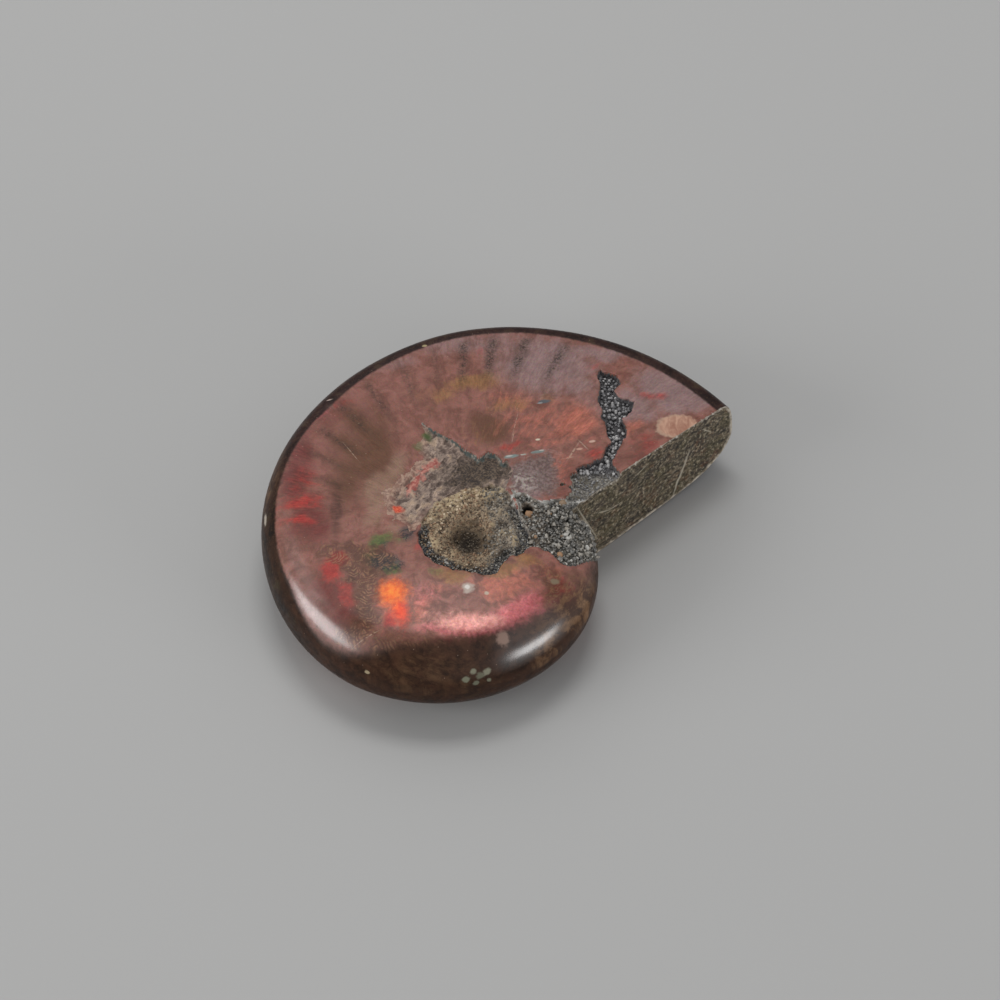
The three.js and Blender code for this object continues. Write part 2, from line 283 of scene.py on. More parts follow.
CRACK = [(9.2, 13.4), (9.5, 12.9), (10.5, 12.5), (10.7, 11.9), (10.2, 11.3), (10.6, 10.6),
         (11.5, 10.3), (11.4, 9.5), (10.8, 8.9), (11, 7.7), (10.7, 6.6), (10.2, 5.7),
         (10.1, 4.8), (10.6, 3.6), (8.6, 2), (7.2, 1.2), (6.9, 3.2), (7.3, 4.3), (8.4, 5),
         (9.3, 5.7), (9.9, 6.9), (9.7, 8.2), (9.3, 9.2), (9.2, 10.6), (9.3, 11.9)]
POCKET = [(3.3, 2.9), (4.2, 2.5), (5.3, 1.85), (6.3, 2.05), (7.3, 2.1), (8.1, 2.1), (8.8, 1.2),
          (9.1, 0.2), (9, -0.7), (8.5, -1.75), (7.8, -2.45), (6.9, -2.75), (6.25, -2.3),
          (5.7, -1.9), (5, -1.75), (4.3, -1.7), (3.8, -0.7), (3.8, 0.6)]
CORAL_RIDGE = [(-1.9, 5.1), (-2.4, 4.6), (-2.9, 3.8), (-3.5, 2.8)]
MAUVE_PATCH = [(2.6, 5.3), (4.5, 5.75), (5.8, 6.35), (6.6, 5.8), (6.8, 4.2), (6.6, 2.3),
               (4.6, 2.1), (3.2, 2.4), (2.7, 3.8)]
PLUG_CREST = [(-1.9, -1.6), (-2.3, -0.5), (-1.9, 0.8), (-0.8, 2.1), (0.6, 2.8), (1.6, 2.7)]
PIT, HOLE = (0.5, -0.85), (4.35, 1.55)


def upper_zones(x, y):
    """How far inside each hollow a point is, with the outlines made ragged."""
    ragged = 0.13 * noise(x, y, 0.7, 1) + 0.08 * noise(x, y, 0.25, 2)
    crumbled = 1 + 2.2 * ramp(y, 5.6, 4.4)    # the foot of the crack has no clean edge
    worn = 0.6 + 1.8 * ramp(x, -1.8, -3.2)    # nor has the left side of the ledge
    outlines = {"umbilicus": (UMBILICUS, 1), "ledge": (BROKEN_LEDGE, worn),
                "crack": (CRACK, crumbled), "pocket": (POCKET, 1), "mauve": (MAUVE_PATCH, 1)}
    return {name: inside_by(x, y, outline) + ragged * more
            for name, (outline, more) in outlines.items()}


print("the pit is", upper_zones(*PIT)["umbilicus"].round(2), "mm inside the umbilicus")


# %% [markdown]
# ## How deep each hollow is
# The plug of matrix is a low mound with a groove round it and a pit in its middle, so its depth
# goes down, up and down again on the way in. The broken ledge has a sharp wall along its upper
# edge and runs out softly on its left. Grit of the right grain size goes on top of each. The
# mauve patch is hardly a hollow, only one lost layer of shell.

# %% Depth of the ledge and of the plug
LEDGE_DEPTH, CRACK_DEPTH, POCKET_DEPTH, MAUVE_DEPTH = 0.38, 0.47, 0.4, 0.045
MOUND_DEPTH, PIT_DEPTH = 0.24, 0.95
LOWER_PLUG = (0.5, 0.1)         # its middle, and its radius every 30 degrees
LOWER_PLUG_RADII = [3.4, 3.2, 3.5, 3.6, 3.2, 3.0, 3.3, 3.6, 3.4, 3.1, 3.3, 3.5, 3.4]


def folds(x, y):
    """Narrow winding folds of the ledge, 1 along their tops; they run up to the right."""
    along, across = 0.64 * x + 0.77 * y, 0.64 * y - 0.77 * x
    bent = across + 0.3 * noise(x, y, 1.1, 24)
    wide = 1 - 2.4 * np.abs(noise(0.35 * along, bent, 0.46, 21))
    fine = 1 - 2.4 * np.abs(noise(0.5 * along, bent, 0.24, 22))
    return 0.65 * np.clip(wide, 0, 1) + 0.35 * np.clip(fine, 0, 1)


def ridge(x, y, line, height, width):
    """A rounded ridge along a line."""
    return height * np.exp(-(distance_to_line(x, y, line) / width) ** 2)


def ledge_depth(x, y, soft):
    depth = LEDGE_DEPTH - 0.1 * soft - 0.2 * folds(x, y) * (0.5 + 0.5 * ramp(x, 1.0, -1.5))
    depth += 0.05 * grit(x, y, 0.3, 23)
    depth -= ridge(x, y, CORAL_RIDGE, 0.16, 0.3)
    tip = BROKEN_LEDGE[0]      # it runs out to nothing at its upper tip
    return depth * (0.15 + 0.85 * ramp(np.hypot(x - tip[0], y - tip[1]), 0.1, 2.0))


def mound_depth(x, y, inside):
    """The plug of matrix, with its groove along the lower left, its crest and its pit."""
    from_pit = np.hypot((x - PIT[0]) / 1.15, y - PIT[1]) + 0.25 * noise(x, y, 0.8, 51)
    lower_left = ramp(0.25 * x - y, -1.1, 0.2)
    groove = 0.32 * lower_left * (1 - ramp(inside, 0.5, 0.95))
    depth = MOUND_DEPTH + groove + PIT_DEPTH * (1 - ramp(from_pit, 0.15, 2.1)) ** 1.4
    depth += 0.2 * grit(x, y, 0.75, 52) + 0.08 * grit(x, y, 0.26, 55, 2)
    depth -= ridge(x, y, PLUG_CREST, 0.2, 0.45)
    return 0.02 + 0.5 * (depth + np.sqrt(depth ** 2 + 0.01))   # never above the flank


# %% Depth of the whole upper and lower flank
def dimple(x, y, at, radii, depth, flat, end):
    """A small oval hollow, flat in its middle."""
    away = np.hypot((x - at[0]) / radii[0], (y - at[1]) / radii[1])
    return depth * (1 - ramp(away, flat, end))


def upper_depth(x, y, zones=None):
    zones = zones or upper_zones(x, y)
    soft = ramp(distance_to_line(x, y, LEDGE_STEP), 0.2, 1.4)   # steep only at the step
    crack = CRACK_DEPTH + 0.12 * grit(x, y, 0.45, 31)
    pocket = POCKET_DEPTH - 0.24 * ramp(x, 5.6, 7.2) + 0.2 * grit(x, y, 0.7, 41)
    depth = MAUVE_DEPTH * ramp(zones["mauve"], -0.02, 0.08)
    for name, deep, wall in (("ledge", ledge_depth(x, y, soft), 0.08 + 0.75 * soft),
                             ("crack", crack, 0.12), ("pocket", pocket, 0.2)):
        depth = np.maximum(depth, deep * ramp(zones[name], -0.03, wall))
    rim_wall = ramp(zones["umbilicus"], -0.05, 0.16)
    depth = depth * (1 - rim_wall) + mound_depth(x, y, zones["umbilicus"]) * rim_wall
    hole = dimple(x, y, HOLE, (1, 1), 0.85, 0.12, 0.42)
    chip = dimple(x, y, (5.46, 10.22), (0.5, 0.2), 0.05, 0.7, 1.1)
    dent = dimple(x, y, (-8.9, 9.4), (1.2, 0.8), 0.07, 0.3, 1.2)
    waves = 0.012 * noise(x, y, 2.6, 61) + 0.006 * noise(x, y, 1.1, 62)
    return depth + hole + chip + dent + waves


def lower_depth(x, y):
    """The underside has only its own plug of matrix; also how far inside that a place is."""
    dx, dy = x - LOWER_PLUG[0], y - LOWER_PLUG[1]
    around = np.degrees(np.arctan2(dy, dx)) % 360
    inside = np.interp(around, np.arange(0, 361, 30), LOWER_PLUG_RADII) - np.hypot(dx, dy)
    inside = inside + 0.2 * noise(x, y, 0.7, 71)
    from_middle = np.hypot(dx, dy) + 0.3 * noise(x, y, 0.8, 72)
    mound = 0.4 + 0.6 * (1 - ramp(from_middle, 0.2, 2.4)) + 0.16 * grit(x, y, 0.7, 73)
    return mound * ramp(inside, -0.05, 0.25), inside


print("depth at the pit and the hole, in mm:", upper_depth(*PIT).round(2), upper_depth(*HOLE).round(2))


# %% [markdown]
# ## The rim as a strip
# A rim is a band of quads: rows go from the upper flank's edge round to the lower one's, and
# columns follow the coil from the lip to where the tail slips under the cut. Every row starts
# and ends exactly on the saw plane, so the strip already has the two ends of the sawn face.

# %% Rows and columns of the rim
COLUMNS, UPPER_STEPS, LOWER_STEPS = 560, 18, 12
NEAR_LIP, NEAR_TAIL = (-8, 8), (315, 350)     # turns between which a row can meet the saw


def bends(steps):
    """Steps from 0 to 90 degrees, closer together at both ends."""
    t = np.linspace(0, 1, steps + 1)
    return 90 * (0.4 * t + 0.6 * (1 - np.cos(pi * t)) / 2)


ROWS = [(bend, 1) for bend in bends(UPPER_STEPS)] + [(b, -1) for b in bends(LOWER_STEPS)[-2::-1]]
rim = np.zeros((len(ROWS), COLUMNS + 1, 3))
rim_turn = np.zeros(rim.shape[:2])
for row, (bend, side) in enumerate(ROWS):
    ends = row_end(bend, side, *NEAR_LIP), row_end(bend, side, *NEAR_TAIL)
    turns = np.linspace(*ends, COLUMNS + 1)
    radius, z = rim_point(turns, bend, side)
    angle = np.radians(LIP_ANGLE + turns)
    rim[row] = np.stack([radius * np.cos(angle), radius * np.sin(angle), z], axis=-1)
    rim_turn[row] = turns
    if side > 0:
        zones = upper_zones(rim[row, :, 0], rim[row, :, 1])
        rim[row, :, 2] -= upper_depth(rim[row, :, 0], rim[row, :, 1], zones) * ramp(z, 0.2, 1.2)
print("rim strip:", rim.shape[0], "rows of", rim.shape[1], "points")

# %% [markdown]
# ## The flanks as scattered points
# A flank needs many points in the hollows and few on the plain polish. A regular grid would
# spend them evenly. So points are laid on a fine grid, most of those on plain polish are left
# out, and a Delaunay triangulation joins what is left into well-shaped triangles.

# %% Heights of the two flanks
TAIL_TURN = 343.3      # the last turn that belongs to the tail


def turn_at(x, y):
    """The turn in plan: the wedge between tail and lip counts as in front of the lip."""
    turn = (np.degrees(np.arctan2(y, x)) - LIP_ANGLE) % 360
    return np.where(turn > TAIL_TURN, turn - 360, turn)


def flank_surface(x, y, side):
    """Height of a flank before its hollows. Over the buried tail it is the last turn's flank."""
    turn, radius = turn_at(x, y), np.hypot(x, y)
    low = flank_height(np.minimum(radius / flank_edge(turn, side), 1), turn)
    past, along = past_saw(x, y, side * 3.5), x * ALONG_SAW[0] + y * ALONG_SAW[1]
    wedge_turn = np.where(turn > 260, turn - 360, turn)
    high = flank_height(radius / flank_edge(wedge_turn, side), wedge_turn)
    on_tail = np.maximum(past > -0.02, ramp(past, -0.35, 0) * ramp(along, 3.9, 2.9))
    overlap = (turn > 260) & (along > -1)
    height = np.where(overlap, high * (1 - on_tail) + low * on_tail, low)
    height = np.where(turn < 0, high, height)
    if side < 0:
        height = np.minimum(height, GROUND_DEPTH) - lower_depth(x, y)[0]
        return -height
    return height - upper_depth(x, y)


def flank_inside(x, y, side, margin):
    """Whether a place lies within a flank, clear of its edges."""
    turn, radius, past = turn_at(x, y), np.hypot(x, y), past_saw(x, y, side * 3.5)
    kept = past < -margin
    under_lip = (turn > 300) & (x * ALONG_SAW[0] + y * ALONG_SAW[1] > 0)
    within = radius < flank_edge(turn, side) - margin
    return np.where(kept & under_lip, True, within & (kept | (turn > 120)))


# %% Points of a flank, and their triangles
GRID, SHAKE, CLEAR = 0.085, 0.012, 0.07    # mm between points, mm they stray, mm off the edges
NEAR_HOLLOW = -0.3                         # mm inside a hollow from which points are dense


def flank_points(side, wanted, every):
    """Grid places within a flank: all that are wanted, and one in every few of the others."""
    rng = np.random.default_rng(5)
    i, j = np.meshgrid(np.arange(-190, 260), np.arange(-170, 230))
    keep = (i % every == 0) & (j % every == 0)
    x = (i + 0.5 * (j % 2)) * GRID + rng.uniform(-SHAKE, SHAKE, i.shape)
    y = j * GRID * 0.95 + rng.uniform(-SHAKE, SHAKE, i.shape)
    near = flank_inside(x, y, side, CLEAR) & (keep | wanted(x, y))
    return np.stack([x[near], y[near]], axis=-1)


def triangles(loop, within):
    """Triangles that fill a closed loop of points and use the points within it."""
    flat = np.concatenate([loop, within])
    edge = list(range(len(loop)))
    made = delaunay_2d_cdt([Vector(p) for p in flat.tolist()], [], [edge], 1, 1e-7)
    new_places, _, faces, came_from = made[:4]
    source = np.array([c[0] if c else -1 for c in came_from])
    faces = source[np.array(faces)]
    if len(new_places) != len(flat) or (source < 0).any():
        print("  triangulation changed points:", len(flat), "->", len(new_places))
    a, b, c = (flat[faces[:, k]] for k in range(3))
    turned = (b[:, 0] - a[:, 0]) * (c[:, 1] - a[:, 1]) - (b[:, 1] - a[:, 1]) * (c[:, 0] - a[:, 0])
    faces[turned < 0] = faces[turned < 0][:, ::-1]
    return faces


def near_upper_hollow(x, y):
    return np.maximum.reduce(list(upper_zones(x, y).values())) > NEAR_HOLLOW


def near_lower_hollow(x, y):
    return lower_depth(x, y)[1] > NEAR_HOLLOW


upper_within = flank_points(1, near_upper_hollow, 3)
lower_within = flank_points(-1, near_lower_hollow, 4)
print("points on the upper and the lower flank:", len(upper_within), len(lower_within))

# %% [markdown]
# ## The edge of the cut, seen from above and below
# Between the tail and the lip both flanks end at the saw plane. These two lines of points belong
# to a flank and to the sawn face at once, which is what closes the mesh there.

# %% Where the flanks meet the cut
CUT_SPACING = 0.11     # mm between the points of the cut's edge, and between its rows


def cut_edge(side, first, last):
    """Points along the cut at the height of a flank, from the tail to the lip."""
    reach = [p[0] * ALONG_SAW[0] + p[1] * ALONG_SAW[1] for p in (first, last)]
    along = np.linspace(*reach, int((reach[1] - reach[0]) / CUT_SPACING))[1:-1]
    points = on_saw(along, np.full(along.shape, side * 3.6))    # a first guess of the height
    for _ in range(3):
        inner = points[:, :2] - 0.08 * ACROSS_SAW
        points = on_saw(along, flank_surface(inner[:, 0], inner[:, 1], side))
    return points


upper_cut = cut_edge(1, rim[0, -1], rim[0, 0])
lower_cut = cut_edge(-1, rim[-1, -1], rim[-1, 0])

upper_faces = triangles(np.concatenate([rim[0], upper_cut])[:, :2], upper_within)
lower_faces = triangles(np.concatenate([rim[-1], lower_cut])[:, :2], lower_within)
print("upper flank:", len(upper_faces), "triangles; lower flank:", len(lower_faces))

# %% [markdown]
# ## The sawn face
# Seen square on, the cut is the coil's cross-section with a bite out of it, where the older turn
# comes through. The blade left fine steps. They are real depth here, only hundredths of a
# millimetre, because a grazing light shows the difference between steps and painted lines.

# %% Points and marks of the sawn face
BLADE_TILT = radians(28)     # slant of the blade's lines


def saw_marks(along, up):
    """How far each point of the cut is sunk: slanting steps from the blade, and crumbled pits."""
    slant = along * cos(BLADE_TILT) + up * sin(BLADE_TILT)
    cross = up * cos(BLADE_TILT) - along * sin(BLADE_TILT)
    steps = 0.016 * noise(slant / 6, cross, 0.16, 81) + 0.01 * noise(slant / 4, cross, 0.3, 82)
    pits = 0.05 * ramp(noise(along, up, 0.4, 83) + 0.5 * noise(along, up, 0.2, 84), 0.35, 0.9)
    return 0.03 + steps + pits + 0.012 * grit(along, up, 0.25, 85)


cut_loop = np.concatenate([upper_cut, rim[:, 0], lower_cut[::-1], rim[::-1, -1]])
cut_flat = np.stack([cut_loop[:, :2] @ ALONG_SAW, cut_loop[:, 2]], axis=-1)
rng = np.random.default_rng(9)
i, j = np.meshgrid(np.arange(25, 185), np.arange(-36, 36))
along = (i + 0.5 * (j % 2)) * 0.12 + rng.uniform(-0.02, 0.02, i.shape)
up = j * CUT_SPACING + rng.uniform(-0.02, 0.02, i.shape)
clear = inside_by(along, up, cut_flat) > 0.05
cut_within_flat = np.stack([along[clear], up[clear]], axis=-1)
cut_faces = triangles(cut_flat, cut_within_flat)
cut_from_edge = inside_by(*cut_within_flat.T, cut_flat)
cut_within = on_saw(*cut_within_flat.T)
sunk = saw_marks(*cut_within_flat.T) * ramp(cut_from_edge, 0.02, 0.2)
cut_within[:, :2] -= sunk[:, None] * ACROSS_SAW
print("sawn face:", len(cut_faces), "triangles")

# %% [markdown]
# ## One closed stone
# The strip, the two flanks and the sawn face share their border points by number. Numbering them
# once, in one long list, gives a single closed mesh with no doubled points to weld.

# %% Joining the four surfaces
grid_index = np.arange(rim.shape[0] * rim.shape[1]).reshape(rim.shape[:2])
upper_xyz = np.column_stack([upper_within, flank_surface(*upper_within.T, 1)])
lower_xyz = np.column_stack([lower_within, flank_surface(*lower_within.T, -1)])
blocks = [rim.reshape(-1, 3), upper_cut, lower_cut, upper_xyz, lower_xyz, cut_within]
starts = np.cumsum([0] + [len(b) for b in blocks])
upper_cut_no, lower_cut_no, upper_within_no, lower_within_no, cut_within_no = (
    np.arange(starts[k], starts[k + 1]) for k in range(1, 6))
upper_no = np.concatenate([grid_index[0], upper_cut_no, upper_within_no])
lower_no = np.concatenate([grid_index[-1], lower_cut_no, lower_within_no])
cut_no = np.concatenate([upper_cut_no, grid_index[:, 0], lower_cut_no[::-1],
                         grid_index[::-1, -1], cut_within_no])
points = np.concatenate(blocks)
quads = np.stack([grid_index[:-1, :-1], grid_index[1:, :-1], grid_index[1:, 1:],
                  grid_index[:-1, 1:]], axis=-1).reshape(-1, 4)
tris = np.concatenate([upper_no[upper_faces], lower_no[lower_faces][:, ::-1], cut_no[cut_faces]])
print("stone:", len(points), "points,", 2 * len(quads) + len(tris), "triangles")


# %% [markdown]
# ## Where the fire shows
# Mother-of-pearl splits light into colours where its layers lie at the right depth, so the colours
# come in soft patches. Each patch is an ellipse with a place, two radii, a tilt and a strength.
# The patches only say roughly where a colour shows. They are stored on the mesh as numbers, and
# the material later breaks them up with fine streaks, so that no ellipse is left to see. The
# underside has the same patches, turned round. Not all of them are fire: the mauve ones on the
# outer flank are a painted sheen, the milky reflection of the lamps, and the crest highlight patch
# paints the pink highlight on the front crest.

# %% Colour patches of the flanks
FIRE = {
    "rust": [(-10.8, 5, 1.47, 4.05, -8, 0.9), (-9.9, 0.5, 1.74, 2.43, 0, 0.8),
             (-8.7, -5.1, 1.34, 2.43, 15, 0.75), (-7.5, -6.8, 1.68, 1.78, 0, 0.75),
             (6.5, -5.1, 1.47, 1.3, 30, 0.6), (-8.8, 9.5, 2.01, 1.3, 35, 0.6),
             (9.2, 5, 1.88, 1.13, 20, 0.5), (11.6, 6.2, 1.74, 0.97, 30, 0.5),
             (6.9, 3.8, 0.8, 1.94, -10, 0.5), (0.6, -9, 4.02, 0.65, 4, 0.7),
             (3.9, 7.1, 2.01, 0.81, 10, 0.35)],
    "olive": [(-6.4, 6.4, 2.6, 4.6, 15, 1), (-7.5, 3.8, 1.47, 3.24, 0, 0.8),
              (1.7, 8, 1.74, 1.78, 20, 0.85), (-1.5, 9.9, 2.01, 1.13, 20, 0.35),
              (5.6, 11, 0.94, 0.81, 60, 0.4), (-5.9, -2.7, 1.88, 2.27, 0, 0.75),
              (-6.5, -5.9, 1.34, 2.43, 0, 0.6), (8.1, -6, 1.25, 3.1, -15, 0.95),
              (-4.3, -8.8, 2.68, 0.97, 0, 0.6), (-0.4, -3.7, 1.74, 0.49, -10, 0.4),
              (-7, -7.7, 1.4, 0.9, -20, 0.7), (-12.3, -1.5, 0.7, 2.6, 8, 0.4)],
    "ochre": [(0.6, 11.8, 2, 0.9, 5, 1), (5.6, 10.9, 0.6, 0.7, 0, 0.6),
              (3.2, 10, 1.6, 0.7, 15, 0.6), (-1.5, 10.8, 1.6, 0.8, 15, 0.6),
              (-0.4, -4, 1.6, 0.6, -10, 1), (2.6, -3.7, 1.9, 0.6, 10, 1),
              (4.6, -2.8, 1, 0.7, 0, 0.9), (0.5, 7.5, 1.07, 0.97, 0, 0.25)],
    # mauve on the outer flank and lower left is painted sheen; by the umbilicus it is the shell's own
    "mauve": [(5.4, 13.4, 4.2, 2.8, 0, 0.9), (0.5, 15.2, 5, 1.6, 0, 0.6),
              (8.8, 10.6, 1.8, 2.4, 10, 0.5), (11.4, 9.8, 2, 1.8, 20, 0.8),
              (15.6, 10.6, 1.6, 1.4, 30, 0.9), (14, 11.4, 3.35, 2.11, -25, 1),
              (9.3, 14.6, 4.02, 0.81, -8, 0.8), (2.5, 15, 5.36, 0.81, 0, 0.6),
              (-11.7, -1.5, 0.94, 2.92, 8, 0.2),
              (-10.4, -5.1, 0.94, 2.11, 30, 0.4), (4.5, 3.6, 1.74, 1.62, 0, 0.95),
              (7.9, 11.6, 1.34, 1.13, 30, 0.75), (12, 10.4, 2.01, 1.46, -25, 0.6),
              (-4.2, 13.5, 2.01, 0.97, 25, 0.5), (-8.3, 11.2, 1.21, 0.49, 40, 0.4),
              (-6.6, 12.5, 0.94, 0.65, 40, 0.35)],
    "orange": [(7.4, 8.4, 1.9, 1.5, 25, 0.85), (5.6, 8.6, 4.6, 2.2, 10, 0.35),
               (6.5, 4.6, 0.8, 1.78, -10, 0.6), (11.3, 8.3, 0.8, 1.46, -20, 0.5),
               (2.9, 10.5, 2.01, 0.65, 5, 0.45),
               (4.2, 8.7, 1.21, 0.81, 0, 0.5), (-1.4, -5.1, 1.34, 0.65, -15, 0.4),
               (2.9, -4.7, 2.2, 1, 10, 0.85), (5.5, -3.5, 0.94, 0.81, 20, 0.5),
               (-2.4, -6.5, 0.67, 0.97, 0, 0.7), (-4.8, -6, 1.01, 1.78, 0, 0.7),
               (-7.1, -1.5, 0.67, 0.49, 0, 0.3), (5.5, 6.6, 1.34, 0.41, 15, 0.5)],
    "beige": [(-5.5, 2.2, 1.1, 2.6, -25, 1), (-4.2, 4.8, 0.7, 1.6, -35, 0.8),
              (-4.8, -0.2, 1, 0.8, 0, 0.6), (6.9, -4.6, 1.6, 1.8, -30, 0.25)],
    # the crest highlight patch paints the pink highlight of the front crest into the colour
    "pearl": [(0.6, -7.25, 2.7, 0.78, 3, 1), (-1.7, -6.9, 0.8, 0.5, 0, 0.4)],
    "dusk": [(-8.2, 1.2, 0.54, 2.75, 0, 0.6), (-9.3, 10.5, 0.8, 0.49, 30, 0.6),
             (-6.8, 9.1, 0.67, 0.49, 40, 0.5), (-12, 5.2, 0.4, 4.05, -10, 0.5),
             (-7.2, -4.4, 0.54, 1.13, 0, 0.5), (-7.2, -6.8, 0.67, 0.81, 0, 0.5),
             (-2.7, -10, 4.02, 1.13, 0, 0.8), (1.2, -10, 2.68, 0.97, 5, 0.8),
             (5.9, -6.7, 0.4, 1.78, -25, 0.8), (-5.1, -2.9, 1.07, 0.65, 0, 0.5)],
    # rose near the front crest is partly the pink edge of its painted highlight; the rest is the
    # shell's
    "rose": [(4.1, -6.5, 2.5, 1.3, 25, 0.8), (1.4, -7.7, 2.5, 0.7, 3, 0.9),
             (5.7, -5.7, 0.94, 0.73, 30, 0.8), (-1.4, -7.9, 1.61, 0.65, -5, 0.6),
             (6.8, -3.9, 0.67, 0.65, 0, 0.4), (-9.6, 9.1, 1.34, 0.41, 35, 0.5),
             (-7.9, 11.6, 0.94, 0.49, 50, 0.3), (-10.5, 7.3, 0.94, 0.41, 25, 0.3),
             (-2.4, -5.7, 0.94, 1.3, 0, 0.4)],
    "red": [(-10.6, 1.9, 1.9, 0.6, 5, 0.75), (-10.7, 0.5, 1.4, 0.45, 0, 0.7),
            (-10.4, 3.6, 1.6, 0.8, 0, 0.4), (-10, 4.6, 1.21, 0.65, 0, 0.3),
            (-7.9, 10.1, 0.94, 0.41, 30, 0.35),
            (-8.4, -3.2, 0.85, 1.35, 15, 1.1), (-7.5, -5.5, 0.8, 1.15, 20, 0.85),
            (-4.7, -7.3, 0.6, 0.65, 0, 0.85), (6.3, -4.6, 1, 0.8, 30, 0.5),
            (3.3, 6.3, 1.6, 0.5, 20, 0.7), (8.6, 6.1, 0.94, 0.65, 15, 0.6),
            (12.9, 11.1, 1.7, 0.4, 8, 0.6), (1.2, 14.4, 0.54, 0.65, 0, 0.25),
            (8.6, 13.5, 0.94, 0.32, 30, 0.35), (11.9, 6.6, 1.47, 0.65, 30, 0.3),
            (-2.8, -1.5, 0.4, 0.65, 0, 0.5)],
    "slate": [(-5, -2.9, 1.5, 0.9, -15, 1), (-3.8, -0.6, 0.8, 0.9, 0, 0.8),
              (-5.1, -1.5, 0.67, 0.49, 0, 0.4)],
    "green": [(-4.6, -3.7, 0.74, 0.65, 0, 1), (-5.6, -1.1, 1, 0.7, 10, 0.9),
              (-4.4, -1.1, 0.8, 0.65, 0, 0.5), (-2.6, 7.3, 0.54, 0.49, 0, 1),
              (-3.2, 6.4, 0.4, 0.32, 0, 0.6), (-6.2, -2.5, 0.6, 0.65, 0, 0.6),
              (-1.6, -3.7, 0.8, 0.32, 0, 0.5)],
    # amber: painted light, where the lamps shine into the brown shell of the rim
    "amber": [(7.4, -5.2, 1.9, 2.7, -25, 1), (8.7, -5.6, 0.9, 3, -12, 1),
              (6.2, -8, 1.8, 1.2, 35, 0.7), (-2.5, -10.4, 4.5, 1, 0, 0.25),
              (-13, 5, 0.7, 4, -10, 0.4)],
}


def patches(x, y, ellipses):
    """Strength of a set of soft ellipses at each place."""
    total = np.zeros(np.shape(x))
    for cx, cy, rx, ry, tilt, strength in ellipses:
        c, s = cos(radians(tilt)), sin(radians(tilt))
        across = np.hypot(((x - cx) * c + (y - cy) * s) / rx, ((y - cy) * c - (x - cx) * s) / ry)
        total = np.maximum(total, strength * (1 - ramp(across, 0.25, 1.35)))
    return total


x, y, z = points.T
side, out = np.where(z > 0, 1, -1), np.hypot(x, y)
turned = np.where(side > 0, x, -0.6 * x - 0.8 * y), np.where(side > 0, y, 0.8 * x - 0.6 * y)
warp = [0.4 * grit(x, y, 1.7, seed) for seed in (91, 95)]
fields = {name: patches(turned[0] + warp[0], turned[1] + warp[1], spots)
          for name, spots in FIRE.items()}
print("colours of fire and shade:", ", ".join(fields))

# %% [markdown]
# ## Numbers for the materials
# A material can't know where the ribs are, or how far a place is from the rim. So the mesh
# carries such numbers, one for each point, and the materials read them by name. The ribs are
# dark soft lines at some turns, partly the shell's own colour and partly painted shade in their
# shallow troughs, with a painted highlight on the swell between each two. The sutures are lines
# too: there the walls between the shell's chambers met its outside. The brown outer shell is
# left below a line that runs round the rim, high on the shoulder near the lip and lower down on
# the far side, and it is soft where the light rakes along it.

# %% Ribs, sutures and the brown line
RIBS = [(59, 1.0), (51.5, 1.0), (43.7, 1.0), (34.2, 0.9), (67, 0.5), (76.2, 0.6), (87.5, 0.7),
        (98.4, 0.7), (109, 0.7), (118, 0.5), (127, 0.4)]     # turn and strength
# the swells between the ribs, which get a painted highlight
RIB_HIGHLIGHTS = [(72, 0.4), (82, 0.6), (93, 0.8), (103.5, 0.7), (113.5, 0.7), (122.5, 0.5)]
SUTURES = [[(-8.7, -2.0), (-7.9, -2.4), (-7.2, -3.2), (-7.0, -4.0)],
           [(-6.3, -3.7), (-6.1, -5.1), (-6.2, -6.2), (-5.9, -7.4), (-6.5, -8.2), (-7.6, -8.0)],
           [(-7.4, -1.8), (-6.6, -2.7), (-5.5, -2.4), (-4.9, -3.2)],
           [(-5.5, -9.3), (-3.7, -9.2), (-1.7, -9.6)], [(5.9, -3.8), (6.3, -5.3), (5.6, -7.1)]]
BROWN_LINE = [(0, -0.3), (20, -0.25), (45, -0.05), (100, -0.1), (110, 0.15), (124, 0.45),
              (143, 0.8), (160, 1.3), (168, 1.45), (183, 2.1), (190, 2.3), (198, 2.25),
              (207, 1.83), (215, 1.2), (226, 0.75), (250, 0.8), (262, 1.0), (274, 1.4),
              (288, 2.0), (302, 2.5), (320, 2.6)]            # turn, and mm past the flank's edge
BROWN_SOFT = [(0, 0.1), (190, 0.1), (205, 0.32), (226, 0.62), (345, 0.55)]


def along_coil(steps):
    """A measure that is given at some turns, read at the turn of every point."""
    return np.interp(turn, *zip(*steps))


def rib_lines(lines, width, start, end):
    """Soft lines at some turns, that begin and end at two distances in from the rim."""
    soft = sum(strength * np.exp(-((turn - place) / width) ** 2) for place, strength in lines)
    return soft * ramp(from_edge, *start) * (1 - ramp(from_edge, *end))


turn = turn_at(x, y)
turn[:rim_turn.size] = rim_turn.ravel()
edge = np.where(side > 0, flank_edge(turn, 1), flank_edge(turn, -1))
from_edge = edge - out
rim_brown = (out - edge - along_coil(BROWN_LINE)) / along_coil(BROWN_SOFT)
suture_across, suture_along = beside_lines(x, y, SUTURES)
fields |= {"rim_brown": rim_brown, "ribs": rib_lines(RIBS, 1.4, (0.1, 0.9), (2.8, 5.2)),
           "rib_light": rib_lines(RIB_HIGHLIGHTS, 2.4, (-0.2, 0.5), (2.0, 5.0)),
           "rib_out": out, "rib_along": np.radians(turn) * 9,
           "suture_across": np.where(side > 0, suture_across, FAR), "suture_along": suture_along,
           "ribbed": 1 - ramp(turn, 110, 190), "chestnut": 1 - ramp(turn, 110, 150)}
print("brown reaches up to", round(-along_coil(BROWN_LINE).min(), 2), "mm in from the shoulder")

